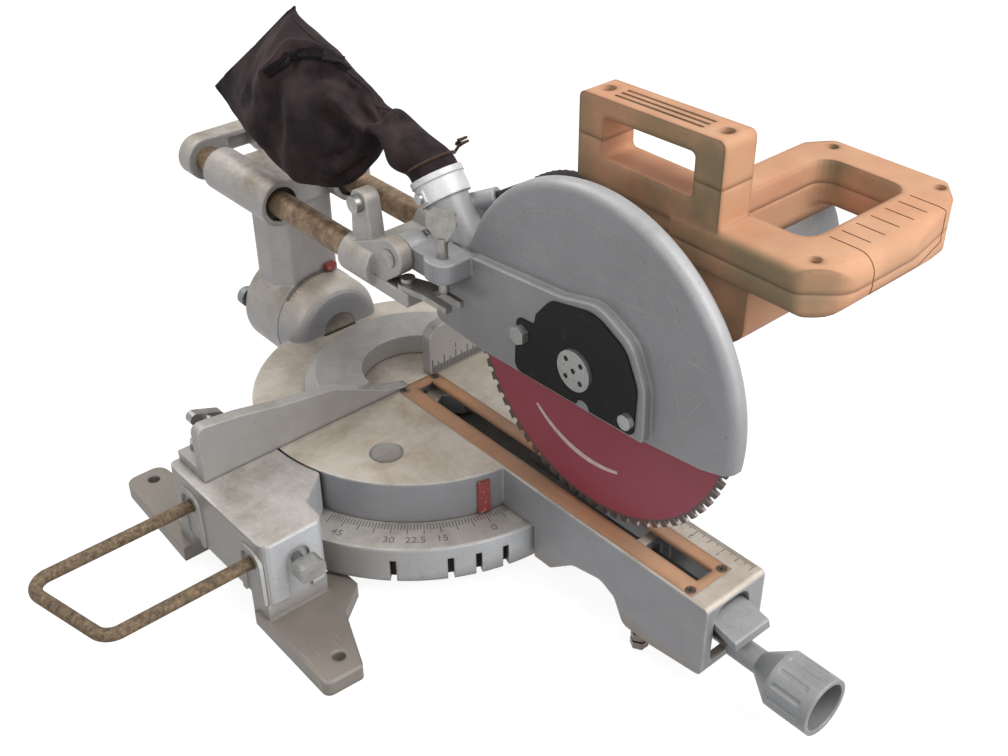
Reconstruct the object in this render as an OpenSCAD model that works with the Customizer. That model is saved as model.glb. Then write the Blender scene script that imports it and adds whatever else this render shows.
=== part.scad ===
// Sliding compound mitre saw with a 254 mm blade, head down and drawn forward.
// Frame: +X operator's right, +Y to the rear, +Z up. The origin is on the bench,
// under the mitre pivot. The fence face is the plane y = 0 and the blade's the plane x = 0.

/* [Base] */
// Height of the table above the bench
table_h = 85; // [80:1:110]
// Half of the width over the two wings
base_half_w = 212; // [206:1:226]
// Reach of the wings in front of the fence face
wing_front = 93; // [90:1:100]
// Reach of the wings behind the fence face
wing_rear = 41; // [38:1:48]
// Depth of the wing blocks
wing_depth = 57; // [50:1:60]
// Wall of the base and turntable castings
wall = 6; // [5:0.5:7]
// Outer radius of the mitre scale ring
ring_r = 169; // [162:1:170]
// Drop from the table to the mitre scale
ring_drop = 37.3; // [35:0.1:39]
// Height of the scale ring's outer wall
ring_h = 31; // [26:1:33]
// Thickness of the foot flanges
foot_t = 13; // [10:0.5:14]
// Bench bolt holes, distance from the wing's end
bolt_x = 18; // [14:1:22]
// Bench bolt holes, distance in front of the pivot
bolt_front = 152; // [144:1:154]
// Bench bolt holes, distance behind the pivot
bolt_rear = 120; // [114:1:124]
// Diameter of the bench bolt holes
bolt_hole_d = 10; // [8:0.5:12]

/* [Extension bar and vise] */
// Diameter of the extension bar
bar_d = 10; // [8:0.5:11]
// Depth of the bar below the table
bar_drop = 24; // [20:1:28]
// Distance of the bar's front leg from the fence face
bar_front = 74; // [70:1:76]
// Distance of the bar's rear leg behind the fence face
bar_rear = 12; // [8:1:16]
// How far the bar's front leg stands out of the wing
bar_out = 115; // [80:1:130]
// How much further the bar's rear leg stands out
bar_skew = 20; // [4:1:26]
// Distance of the vise post's hole from the wing's end
vise_x = 43; // [38:1:48]
// Distance of the vise post's hole behind the fence face
vise_y = 25; // [24:1:27]
// Diameter of the vise post's hole
vise_hole_d = 13; // [10:0.5:15]
// Height of the vise boss above the wing
vise_boss_h = 26; // [20:1:32]

/* [Fence] */
// Height of the fence at its ends
fence_h = 50; // [46:1:56]
// Thickness of the fence
fence_t = 10; // [8:0.5:12]
// Where the left fence ends, left of the blade
fence_left = 8; // [6:1:12]
// Where the right fence starts, right of the blade
fence_right = 15; // [12:1:20]
// Outer radius of the bow behind the fence
bow_r = 93; // [80:1:96]
// Radius of the bow's round recess
bow_recess_r = 45; // [40:1:50]
// Height of the bow
bow_h = 18; // [14:1:20]

/* [Turntable] */
// Radius of the turntable
turntable_r = 137; // [130:0.5:139]
// Thickness of the table plate
top_t = 9; // [8:0.5:11]
// Diameter of the mitre pivot
pivot_d = 16; // [12:1:20]
// Left side of the table arm
arm_left = 22; // [21:1:26]
// Right side of the table arm
arm_right = 38; // [36:1:42]
// Reach of the arm in front of the pivot
arm_len = 343; // [335:1:352]
// Depth of the arm at its front end
arm_depth = 62; // [56:1:66]
// Width of the blade slot
slot_w = 16.4; // [14:0.1:18]
// Part of the slot's width that lies left of the blade
slot_left = 5.2; // [4.5:0.1:6]
// Web left between the blade slot and the arm's front end
slot_front = 25; // [20:1:33]
// Thickness of the slot insert
insert_t = 3; // [2.5:0.5:4]
// Outer diameter of the mitre knob
knob_d = 43; // [36:1:46]
// Length of the knob's cup
knob_cup = 35; // [30:1:44]
// Drop of the knob's axis below the table
knob_drop = 43; // [40:1:46]

/* [Bevel pivot] */
// Radius of the bevel drum
drum_r = 45.3; // [42:0.1:47]
// How far the bevel drum's front lies inside the turntable's rim
drum_front = 25; // [21:1:29]
// Seam between the drum and the tilting arm, behind the turntable's rim
drum_rear = 6; // [5:0.5:13]
// Diameter of the bevel pivot bolt
bevel_bolt_d = 20; // [16:1:24]

/* [Slide] */
// Diameter of the rails
rail_d = 22; // [20:0.5:24]
// Distance between the rails
rail_pitch = 72; // [68:1:76]
// Height of the rails above the table
rail_z = 131; // [128:1:134]
// Outer diameter of the rail barrels
barrel_d = 39; // [37:0.5:41]
// Front of the barrels behind the fence face
barrel_front = 127; // [124:1:132]
// Rear of the barrels behind the fence face
barrel_rear = 220; // [212:1:222]
// Rear end of the rails behind the fence face
rail_end = 264; // [262:1:272]
// Length of each rail bush
bush_len = 28; // [20:1:36]

/* [Hinge] */
// Distance of the head hinge in front of the fence face
hinge_y = 35; // [34:0.5:37]
// Height of the head hinge above the table
hinge_z = 150; // [149:0.5:153]
// Diameter of the hinge pin
pin_d = 14; // [12:0.5:16]
// Outer diameter of the hinge lugs
lug_d = 29; // [27:0.5:30]
// Half of the width over the hinge lugs
lug_half_w = 45; // [42:0.5:48]
// Width of each carriage lug
lug_w = 12; // [10:0.5:13]
// Wire diameter of the return spring
spring_wire = 3; // [2:0.1:3.2]
// Turns of the return spring
spring_turns = 3; // [2:1:4]

/* [Blade and guard] */
// Radius of the blade
blade_r = 127; // [120:1:128]
// Distance of the blade's centre in front of the fence face
blade_y = 207; // [204:0.5:210]
// Height of the blade's centre above the table
blade_z = 124.5; // [122:0.5:128]
// Thickness of the blade's plate
blade_plate = 1.8; // [1.4:0.1:2.2]
// Width of the blade's teeth
blade_kerf = 2.6; // [2.4:0.1:3]
// Number of blade teeth
blade_teeth = 72; // [40:2:100]
// Diameter of the spindle in the blade
spindle_d = 15.8; // [14:0.1:18]
// Radius of the upper guard
guard_r = 132.5; // [131.5:0.5:138]
// Left face of the guard, left of the blade
guard_left = 9; // [8:0.5:11]
// Right face of the guard, right of the blade
guard_right = 5; // [5:0.5:8]
// Wall of the guard
guard_wall = 2.5; // [2:0.25:3]
// How far the hub plate stands out of the guard
hub_plate_t = 7; // [6.5:0.5:12]
// Radius of the lower guard's hub disc
hub_r = 15.5; // [14:0.5:18]
// Circle of the hub disc's tapped holes
hub_hole_circle_d = 20; // [16:1:22]
// Diameter of the hub disc's tapped holes
hub_hole_d = 4.2; // [3:0.1:5]

/* [Dust spout] */
// Side of the spout's axis, right of the blade
spout_x = 5; // [2:1:8]
// Tilt of the spout to the rear
spout_tilt = 38; // [34:1:42]
// Outer diameter of the spout
spout_d = 34; // [30:1:36]
// Bore of the spout
spout_bore = 26; // [20:1:28]
// Outer diameter of the spout's collar
collar_d = 42; // [39:1:44]
// Length of the collar
collar_len = 20; // [16:1:24]

/* [Drive] */
// Tooth module of the gear pair
gear_module = 1.25; // [1:0.05:1.3]
// Teeth of the pinion
pinion_teeth = 12; // [12:1:14]
// Teeth of the driven gear
gear_teeth = 44; // [42:1:46]
// Width of the gears
gear_w = 10; // [6:0.5:11]
// Outer radius of the motor can
motor_r = 44; // [42:0.5:45]
// Wall of the motor can
can_wall = 4; // [3:0.5:5]
// Right end of the motor can
can_end = 180; // [160:1:186]
// Length of the stator stack
stack_len = 52; // [40:1:56]

/* [Handles] */
// Height of the handle's top face above the table
grip_top = 231; // [228:1:234]
// Depth of the handle
grip_depth = 34; // [30:1:36]
// Left side of the handle
grip_left = 45; // [44:1:48]
// Right side of the handle
grip_right = 222; // [212:1:228]
// Front of the handle, in front of the fence face
grip_front = 348; // [344:1:356]
// Width of the grip bar and of the handle's sides
grip_w = 34; // [30:1:36]
// Top of the carry handle above the table
carry_top = 288; // [284:1:294]
// Width of the carry handle
carry_w = 30; // [26:1:32]
// Travel of the trigger
trigger_travel = 6; // [3:0.5:7]

/* [Fits] */
// Gap between the turntable's rim and the wings
rim_gap = 2; // [1:0.5:2.5]
// Clearance of the fitted bar in its worn holes
bar_wear = 0.3; // [0.1:0.05:0.5]
// Radial clearance of running fits
run_gap = 0.05; // [0.02:0.01:0.1]
// Clearance of fixed seats
seat_gap = 0.02; // [0.01:0.01:0.05]
// Clearance between faces that pass each other
pass_gap = 0.4; // [0.3:0.05:0.6]

/* [Hidden] */
$fn = 72;
arc_steps = 5;

table = table_h;
ring_top = table - ring_drop;
disc_bottom = ring_top + pass_gap;
wing_bottom = table - wing_depth;
rail_x = rail_pitch / 2;
rail_h = table + rail_z;
hinge = [-hinge_y, table + hinge_z];
arbor = [-blade_y, table + blade_z];
gear_distance = gear_module * (pinion_teeth + gear_teeth) / 2;
motor = [arbor.x, arbor.y + gear_distance];
hub_face = -guard_left - hub_plate_t;
cover_t = 1.5;
cover_face = hub_face - cover_t;
flange_r = 22;
flange_t = 3.5;
drum_y = [turntable_r - drum_front, turntable_r + drum_rear];

// Cast aluminium, steel and plastic colours as they look after years of use
cast_grey = [0.66, 0.66, 0.66];
steel_grey = [0.55, 0.55, 0.54];
rust = [0.42, 0.31, 0.22];
faded_orange = [0.83, 0.58, 0.42];
black = [0.1, 0.1, 0.11];
blade_red = [0.45, 0.12, 0.15];
copper = [0.68, 0.4, 0.26];

// Plain boxes, rods along an axis and outlines drawn out along an axis
module box(x, y, z) translate([x[0], y[0], z[0]]) cube([x[1] - x[0], y[1] - y[0], z[1] - z[0]]);
module rod_x(r, x, at) translate([x[0], at[0], at[1]]) rotate([0, 90, 0]) cylinder(r = r, h = x[1] - x[0]);
module rod_y(r, y, at) translate([at[0], y[0], at[1]]) rotate([-90, 0, 0]) cylinder(r = r, h = y[1] - y[0]);
module rod_z(r, z, at) translate([at[0], at[1], z[0]]) cylinder(r = r, h = z[1] - z[0]);
module slab_x(x, outline) translate([x[0], 0, 0])
    rotate([90, 0, 90]) linear_extrude(x[1] - x[0]) polygon(outline);
module slab_y(y, outline) translate([0, y[1], 0])
    rotate([90, 0, 0]) linear_extrude(y[1] - y[0]) polygon(outline);
module slab_z(z, outline) translate([0, 0, z[0]]) linear_extrude(z[1] - z[0]) polygon(outline);
// A profile of radius and place along the axis, turned about that axis
module turned_x(at, profile) translate([0, at[0], at[1]]) rotate([0, 90, 0]) rotate_extrude() polygon(profile);
module turned_y(at, profile) translate([at[0], 0, at[1]]) rotate([-90, 0, 0]) rotate_extrude() polygon(profile);
module both_sides() {
    children();
    mirror([1, 0, 0]) children();
}

// An outline whose corners are rounded, with one radius for all corners or one for each
function unit(v) = v / norm(v);
function corner(a, b, c, r) = r <= 0 ? [b] :
    let (u = unit(a - b), w = unit(c - b), half = acos(u * w) / 2)
    let (m = b + unit(u + w) * r / sin(half), s = b + u * r / tan(half), e = b + w * r / tan(half))
    let (from = atan2(s.y - m.y, s.x - m.x), to = atan2(e.y - m.y, e.x - m.x))
    let (turn = (to - from + 540) % 360 - 180)
    [for (i = [0:arc_steps]) m + r * [cos(from + turn * i / arc_steps), sin(from + turn * i / arc_steps)]];
function rounded(p, r) = [for (i = [0:len(p) - 1])
    each corner(p[(i + len(p) - 1) % len(p)], p[i], p[(i + 1) % len(p)], is_list(r) ? r[i] : r)];
function rect(x, y) = [[x[0], y[0]], [x[1], y[0]], [x[1], y[1]], [x[0], y[1]]];
function shift(p, by) = [for (q = p) q + by];

// A tube of constant section swept along points, with flat ends
function cross_unit(a, b) = unit(cross(a, b));
function along(p, i) = unit(p[min(i + 1, len(p) - 1)] - p[max(i - 1, 0)]);
function normals(p, i = 0, n = undef) = i >= len(p) ? [] :
    let (t = along(p, i))
    let (start = abs(t.z) < 0.9 ? [0, 0, 1] : [0, 1, 0])
    let (m = is_undef(n) ? cross_unit(t, start) : unit(n - t * (n * t)))
    concat([m], normals(p, i + 1, m));
module tube(p, r, sides) {
    n = normals(p);
    rings = len(p);
    ring_points = [for (i = [0:rings - 1]) let (b = cross(along(p, i), n[i])) for (k = [0:sides - 1])
        p[i] + r * (n[i] * cos(360 * k / sides) + b * sin(360 * k / sides))];
    walls = [for (i = [0:rings - 2]) for (k = [0:sides - 1])
        let (a = i * sides + k, b = i * sides + (k + 1) % sides)
        each [[a, a + sides, b], [b, a + sides, b + sides]]];
    caps = [for (k = [1:sides - 2]) each [[0, k, k + 1],
        [(rings - 1) * sides, (rings - 1) * sides + k + 1, (rings - 1) * sides + k]]];
    polyhedron(concat(ring_points, [p[0], p[rings - 1]]), concat(walls, caps));
}

// Base: scale ring, bearing plate, two hollow wings on four feet
plate_t = 9;
rear_plate_r = turntable_r + 2;
hub_boss_r = pivot_d / 2 + 14;
hub_boss_bottom = table - 70;
pivot_nut_t = 9;
ring_back = 10;
detents = [0, 15, 22.5, 30, 45];
detent_w = 5;
detent_h = 20;
wing_inner = base_half_w - 52;
vise_at = [-base_half_w + vise_x, vise_y];
bolt_at_x = base_half_w - bolt_x;
bar_boss_r = bar_d / 2 + 5;
bar_boss_len = 27;
clamp_x = -base_half_w + 28;
clamp_d = 8;
vise_boss_r = vise_hole_d / 2 + 5.5;
vise_boss_bottom = table - bar_drop + bar_d / 2 + 1;
vise_screw_d = 8;
vise_screw_z = table + vise_boss_h - 9;
fence_bolt_x = base_half_w - 24;
fence_bolt_y = 33;
fence_bolt_d = 8;

module base_side() {
    difference() {
        union() {
            slab_z([wing_bottom, table], rounded([[-base_half_w, -wing_front], [-wing_inner, -wing_front],
                [-wing_inner + 2, 24.5 - wing_front], [5 - turntable_r, 45 - wing_front],
                [18 - turntable_r, wing_rear], [-base_half_w, wing_rear]], [9, 6, 3, 0, 0, 6]));
            rod_z(vise_boss_r, [table - top_t, table + vise_boss_h], vise_at);
        }
        // hollow of the wing, open below
        difference() {
            union() {
                box([wall - base_half_w, -wing_inner - wall], [wall - wing_front, wing_rear - wall],
                    [wing_bottom - 1, table - top_t]);
                box([-wing_inner - wall - 1, -wing_inner + 14], [57 - wing_front, wing_rear - wall],
                    [wing_bottom - 1, table - top_t]);
            }
            for (y = [-bar_front, bar_rear])
                rod_x(bar_boss_r, [-base_half_w, bar_boss_len - base_half_w], [y, table - bar_drop]);
            rod_z(vise_boss_r, [vise_boss_bottom, table], vise_at);
            rod_y(clamp_d, [-wing_front, -bar_front], [clamp_x, table - bar_drop]);
        }
        // recess in front for the clamp screw's head
        slab_y([-wing_front - 1, 3 - wing_front], rounded([[clamp_x - 10, wing_bottom - 1],
            [clamp_x + 10, wing_bottom - 1], [clamp_x + 10, table - bar_drop + 10],
            [clamp_x - 10, table - bar_drop + 10]], [0, 0, 9, 9]));
    }
    // raised arches round the bar's holes
    for (y = [-bar_front, bar_rear]) difference() {
        slab_x([-base_half_w - 2, 1 - base_half_w],
            rounded(rect([y - 15, y + 15], [wing_bottom, table - bar_drop + 15]), [0, 0, 12, 12]));
        slab_x([-base_half_w - 3, -base_half_w],
            rounded(rect([y - 10.5, y + 10.5], [wing_bottom - 1, table - bar_drop + 10.5]), [0, 0, 9, 9]));
    }
    // legs down to the feet
    box([-base_half_w, -wing_inner], [-wing_front + 3, 26 - wing_front], [0, wing_bottom]);
    box([-base_half_w, 40 - base_half_w], [24, wing_rear], [0, wing_bottom]);
    slab_z([0, foot_t], rounded([[-base_half_w - 3, 20 - wing_front], [-base_half_w - 5, -bolt_front - 17],
        [26 - base_half_w, -bolt_front - 19], [-wing_inner - 4, -wing_front - 25],
        [-wing_inner + 20, -wing_front - 7], [-wing_inner + 20, 20 - wing_front]], [0, 6, 4, 8, 0, 0]));
    slab_z([0, foot_t - 1], rounded([[-base_half_w - 8, 24], [-base_half_w - 2, bolt_rear + 14],
        [32 - base_half_w, bolt_rear + 14], [40 - base_half_w, 60], [40 - base_half_w, 24]],
        [0, 10, 10, 10, 0]));
}
module base_casting() color(cast_grey) difference() {
    union() {
        both_sides() base_side();
        rod_z(rear_plate_r, [ring_top - plate_t, ring_top], [0, 0]);
        rod_z(hub_boss_r, [hub_boss_bottom, ring_top], [0, 0]);
        intersection() {
            difference() {
                rod_z(ring_r, [ring_top - ring_h, ring_top], [0, 0]);
                rod_z(ring_r - wall, [ring_top - ring_h - 1, ring_top - plate_t], [0, 0]);
            }
            box([-ring_r, ring_r], [-ring_r, ring_back], [0, table]);
        }
        // ribs from the pivot boss to the ring
        for (a = [-150:30:-30]) rotate(a)
            box([hub_boss_r - 2, ring_r - 3], [-3, 3], [ring_top - 24, ring_top - plate_t]);
        // webs that carry the wings on the plate
        both_sides() box([-wing_inner - 10, -rear_plate_r + 20], [-60, 36], [ring_top - plate_t, ring_top]);
    }
    rod_z(turntable_r + rim_gap, [ring_top, table + 1], [0, 0]);
    rod_z(pivot_d / 2 + seat_gap, [0, table], [0, 0]);
    for (a = detents) for (s = [-1, 1]) rotate(s * a - 90)
        box([ring_r - wall - 1, ring_r + 1], [-detent_w / 2, detent_w / 2], [0, ring_top - ring_h + detent_h]);
    // way for the fitted bar's front leg through the wing's inner wall
    rod_x(bar_d / 2 + 1, [-wing_inner - wall - 2, -wing_inner + 8], [-bar_front, table - bar_drop]);
    // holes for the bars: the fitted left one has worn its pair, the right pair is as drilled
    for (y = [-bar_front, bar_rear]) {
        rod_x(bar_d / 2 + bar_wear, [-base_half_w - 3, -wing_inner - wall], [y, table - bar_drop]);
        rod_x(bar_d / 2 + run_gap, [wing_inner + wall, base_half_w + 3], [y, table - bar_drop]);
    }
    both_sides() {
        for (y = [-bolt_front, bolt_rear]) rod_z(bolt_hole_d / 2, [-1, wing_bottom - 1], [-bolt_at_x, y]);
        rod_z(vise_hole_d / 2, [wing_bottom - 1, table + vise_boss_h + 1], vise_at);
        rod_y(vise_screw_d / 2 + run_gap, [vise_y, vise_y + vise_boss_r + 1], [vise_at.x, vise_screw_z]);
        rod_y(clamp_d / 2 + run_gap, [-wing_front - 1, -bar_front], [clamp_x, table - bar_drop]);
        rod_z(fence_bolt_d / 2 + seat_gap, [table - top_t - 1, table + 1], [-fence_bolt_x, fence_bolt_y]);
    }
}

// Pivot of the turntable, with its nut under the base's boss
module pivot_bolt() color(steel_grey) {
    rod_z(pivot_d / 2, [hub_boss_bottom - pivot_nut_t - 3, table - top_t - 1], [0, 0]);
    translate([0, 0, hub_boss_bottom - pivot_nut_t])
        cylinder(r = pivot_d * 0.8, h = pivot_nut_t - seat_gap, $fn = 6);
}

// Fence: two upright plates joined by a low bow behind the blade
fence_bottom = table + pass_gap;
fence_end = base_half_w - 9;
module fence() color(cast_grey) difference() {
    union() {
        slab_y([0, fence_t], rounded([[-fence_end, fence_bottom], [-fence_left, fence_bottom], [-33, table + 7],
            [-81, table + 30], [74 - fence_end, table + 37.5], [37 - fence_end, table + fence_h - 4.5],
            [-fence_end, table + fence_h]],
            [0, 0, 4, 20, 30, 30, 7]));
        slab_y([0, fence_t], rounded([[fence_right, fence_bottom], [fence_end, fence_bottom],
            [fence_end, table + fence_h], [fence_right, table + fence_h - 5]], [0, 0, 7, 14]));
        intersection() {
            difference() {
                translate([0, 0, fence_bottom])
                    rotate_extrude() polygon([[0, 0], [bow_r, 0], [bow_r, bow_h - 10],
                    [bow_r - 9, bow_h], [0, bow_h]]);
                rod_z(bow_recess_r, [0, 2 * table], [0, 0]);
            }
            box([-bow_r, bow_r], [fence_t / 2, bow_r], [0, 2 * table]);
        }
        // bolted feet behind the plates
        both_sides() box([-fence_end, vise_at.x - vise_boss_r - 1], [fence_t - 1, wing_rear - 2],
            [table + seat_gap, table + 9]);
    }
    both_sides() rod_z(fence_bolt_d / 2 + seat_gap, [table - 1, table + 10], [-fence_bolt_x, fence_bolt_y]);
}
module fence_bolts() color(steel_grey) both_sides() {
    rod_z(fence_bolt_d / 2, [table - top_t + 1, table + 9 + seat_gap], [-fence_bolt_x, fence_bolt_y]);
    translate([-fence_bolt_x, fence_bolt_y, table + 9 + seat_gap]) cylinder(r = 7, h = 6, $fn = 6);
}

// Extension bar: one bent rod whose legs slide in the left wing
bar_r = bar_d / 2;
bar_inside = 37;
bar_bend = 14;
bar_far = -base_half_w - bar_out;
skew = atan(bar_skew / (bar_front + bar_rear));
front_cut = bar_bend * tan(45 - skew / 2);
rear_cut = bar_bend * tan(45 + skew / 2);
end_len = norm([bar_skew, bar_front + bar_rear]);
module bar_corner(at, from, turn) translate([at.x, at.y, table - bar_drop]) rotate(from)
    rotate_extrude(angle = turn) translate([bar_bend, 0]) circle(r = bar_r);
module extension_bar() color(rust) {
    rod_x(bar_r, [bar_far + front_cut, bar_inside - base_half_w], [-bar_front, table - bar_drop]);
    rod_x(bar_r, [bar_far - bar_skew + rear_cut, bar_inside - base_half_w], [bar_rear, table - bar_drop]);
    translate([bar_far, -bar_front, 0]) rotate(skew)
        rod_y(bar_r, [front_cut, end_len - rear_cut], [0, table - bar_drop]);
    bar_corner([bar_far + front_cut, bar_bend - bar_front], 180 + skew, 90 - skew);
    bar_corner([bar_far - bar_skew + rear_cut, bar_rear - bar_bend], 90, 90 + skew);
}
module bar_clamp_screw() color(steel_grey) {
    rod_y(clamp_d / 2, [-wing_front - 8, -bar_front - bar_r - pass_gap], [clamp_x, table - bar_drop]);
    slab_y([-wing_front - 20, -wing_front - 7.5], shift(rounded([[-11, -7], [11, -7], [11, 7], [-11, 7]], 5),
        [clamp_x, table - bar_drop]));
}
module vise_screw() color(steel_grey) {
    rod_y(vise_screw_d / 2, [vise_y + vise_hole_d / 2 + pass_gap, vise_y + vise_boss_r + 14],
        [vise_at.x, vise_screw_z]);
    translate([vise_at.x, vise_y + vise_boss_r + 17, vise_screw_z]) rotate([0, 20, 0])
        slab_y([-4, 4], rounded([[-15, -5], [15, -5], [15, 5], [-15, 5]], 4.5));
}

// Turntable: disc, front arm with the slot, and the bevel drum at the rear
slot_rear = 2;
arm_wall = wall;
arm_bottom = table - arm_depth;
hook_y = ring_r + 3;
// Place along the arm, from the hook at the ring to the front end
function arm_at(share) = -hook_y - share * (arm_len - hook_y);
rod_axis = table - knob_drop;
rod_x0 = 4;
rod_r = 6;
lever_x = [-13, 22];
lever_pivot = [-arm_len + 34, table - 28];
mouth_x = [-14, 23];
insert_x = [-20, 22];
slot_reach = arm_len - slot_front;
insert_front = slot_reach + 8;
drum_shoulder = 14;
support_at = [-15, arm_at(0.626)];
support_d = 8;
guide_y = [arm_at(0.526), arm_at(0.526) + 8];
tail_x = [13, 19];

arm_root = -turntable_r + 27;
arm_side = [[arm_root, table], [-arm_len, table], [-arm_len, arm_bottom], [arm_at(0.72), arm_bottom - 6],
    [arm_at(0.56), arm_bottom - 6], [arm_at(0.5), table - 48], [arm_at(0.415), table - 41],
    [arm_at(0.245), table - 47], [arm_at(0.105), table - 66], [-hook_y, table - 66], [-hook_y, disc_bottom],
    [arm_root, disc_bottom]];
module turntable() color(cast_grey) difference() {
    union() {
        difference() {
            rod_z(turntable_r, [disc_bottom, table], [0, 0]);
            difference() {
                rod_z(turntable_r - wall, [disc_bottom - 1, table - top_t], [0, 0]);
                rod_z(hub_boss_r, [disc_bottom, table], [0, 0]);
                for (a = [15:60:345]) rotate(a) box([0, turntable_r], [-3, 3], [disc_bottom + 8, table]);
            }
        }
        slab_x([-arm_left, arm_right], rounded(arm_side, [0, 4, 6, 12, 8, 6, 14, 14, 6, 0, 0, 0]));
        // bevel drum with a rounded front shoulder, cut off above the base
        intersection() {
            turned_y([0, table], concat([[0, drum_y[0]], [drum_r - drum_shoulder, drum_y[0]]],
                [for (a = [0:15:90]) [drum_r - drum_shoulder + drum_shoulder * sin(a),
                    drum_y[0] + drum_shoulder - drum_shoulder * cos(a)]],
                [[drum_r, drum_y[1]], [0, drum_y[1]]]));
            box([-drum_r, drum_r], drum_y, [disc_bottom, table + drum_r]);
        }
    }
    // hollow arm, open below and in front
    difference() {
        box([arm_wall - arm_left, arm_right - arm_wall], [arm_wall - arm_len, -turntable_r + 14],
            [0, table - top_t]);
        box([-arm_left, arm_right], guide_y, [arm_bottom - 2, table]);
        rod_z(support_d / 2 + 4, [0, table], support_at);
    }
    rod_y(rod_r + run_gap, [guide_y[0] - 1, guide_y[1] + 1], [rod_x0, rod_axis]);
    box([tail_x[0] - 2, tail_x[1] + 2], [guide_y[0] - 1, guide_y[1] + 1],
        [lever_pivot.y - 8, lever_pivot.y + 10]);
    box([arm_wall - arm_left, arm_right - arm_wall], [-turntable_r + 13, -hub_boss_r - 8], [0, table - top_t]);
    slab_y([-arm_len - 1, arm_wall + 1 - arm_len], rounded([[mouth_x[0], arm_bottom + 10],
        [mouth_x[1], arm_bottom + 10],
        [mouth_x[1], table - 4], [mouth_x[0], table - 4]], [0, 0, 12, 12]));
    // seat of the slot insert and the open slot under it
    box([insert_x[0] - seat_gap, insert_x[1] + seat_gap], [-insert_front - seat_gap, slot_rear + seat_gap],
        [table - insert_t, table + 1]);
    box([-slot_left - 6.2, slot_w - slot_left + 6.2], [-slot_reach, slot_rear - 6], [table - top_t - 1, table]);
    for (p = insert_screw_at) rod_z(insert_screw_d / 2 + seat_gap, [table - top_t - 1, table], p);
    rod_z(pivot_d / 2 + run_gap, [0, table - top_t], [0, 0]);
    rod_y(bevel_bolt_d / 2 + seat_gap, [drum_y[0] - 1, drum_y[1] + 1], [0, table]);
    rod_y(bevel_head_r + seat_gap, [drum_y[0] - 1, drum_y[0] + bevel_head_t], [0, table]);
    rod_z(support_d / 2 + seat_gap, [0, table - top_t], support_at);
    // bores of the lever's trunnions
    rod_x(lever_trunnion_r + run_gap, [-arm_left + 2, arm_right - 2], lever_pivot);
}

// Slot insert of plastic with notched corners, and its four screws
insert_screw_d = 4;
insert_head_r = 3.6;
insert_screw_at = [for (x = [insert_x[0] + 5, insert_x[1] - 5]) for (y = [-insert_front + 5,
    slot_rear - 5]) [x, y]];
module kerf_insert() color(faded_orange) difference() {
    box(insert_x, [-insert_front, slot_rear], [table - insert_t + seat_gap, table]);
    box([-slot_left, slot_w - slot_left], [-slot_reach, slot_rear - 9], [0, table + 1]);
    for (p = insert_screw_at) {
        rod_z(insert_screw_d / 2 + seat_gap, [0, table + 1], p);
        rod_z(insert_head_r + 0.4, [table - insert_t / 2, table + 1], p);
    }
}
module insert_screws() color(steel_grey) for (p = insert_screw_at) {
    rod_z(insert_screw_d / 2, [table - top_t + 1, table - insert_t / 2 + seat_gap], p);
    rod_z(insert_head_r, [table - insert_t / 2 + seat_gap, table - 0.2], p);
}
pointer_angle = -106.5;
module mitre_pointer() color([0.5, 0.14, 0.13]) rotate(pointer_angle)
    box([turntable_r + seat_gap, turntable_r + 2.5], [-5, 5], [disc_bottom + 1, table - 6]);

// Mitre lock: a hollow cup knob on a rod that presses the ring
knob_r = knob_d / 2;
knob_start = -arm_len - 6;
knob_neck = 24;
knob_cone = 18;
knob_wall = 3.5;
cup_front = knob_start - knob_neck - knob_cone - knob_cup;
cup_back = cup_front + knob_cup;
module mitre_knob() color(cast_grey) difference() {
    turned_y([rod_x0, rod_axis], [[0, knob_start], [9, knob_start], [9, knob_start - knob_neck],
        [knob_r, cup_back], [knob_r, cup_front], [knob_r - knob_wall, cup_front],
        [knob_r - knob_wall, cup_back - 4], [0, cup_back - 4]]);
    rod_y(rod_r + seat_gap, [knob_start - knob_neck, knob_start + 1], [rod_x0, rod_axis]);
    // shallow grip flutes along the cup
    for (a = [0:30:330]) translate([rod_x0, 0, rod_axis]) rotate([0, a, 0])
        rod_y(3, [cup_front + 8, cup_back - 4], [0, knob_r + 2]);
}
module clamp_rod() color(steel_grey) difference() {
    rod_y(rod_r, [knob_start - knob_neck + 2, -ring_r - pass_gap], [rod_x0, rod_axis]);
    rod_y(1.5, [-ring_r - 4, -ring_r], [rod_x0, rod_axis]);
}
// Detent lever: a pressed plate that stands out of the arm's mouth, on two trunnions
lever_trunnion_r = 3;
lever_t = 5;
module detent_lever() color(cast_grey) {
    slab_x(lever_x, rounded([[lever_pivot.x + 8, lever_pivot.y + 4], [-arm_len + 6, lever_pivot.y + 12],
        [-arm_len - 19, lever_pivot.y + 6], [-arm_len - 21, lever_pivot.y - 1], [-arm_len - 17, lever_pivot.y],
        [-arm_len + 5, lever_pivot.y + 12 - lever_t], [lever_pivot.x + 8, lever_pivot.y - 4]],
        [2, 4, 2, 1, 1, 4, 2]));
    rod_x(lever_trunnion_r, [-arm_left + 2.5, arm_right - 2.5], lever_pivot);
    // tail that reaches the detents under the ring
    box(tail_x, [lever_pivot.x, -hook_y - 4], [lever_pivot.y - 3, lever_pivot.y + 3]);
}
module support_bolt() color(steel_grey) {
    rod_z(support_d / 2, [6, table - top_t - 6], support_at);
    translate([support_at.x, support_at.y, 1]) cylinder(r = 7, h = 6, $fn = 6);
    translate([support_at.x, support_at.y, arm_bottom - 6 - 8]) cylinder(r = 7, h = 6, $fn = 6);
}

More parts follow.
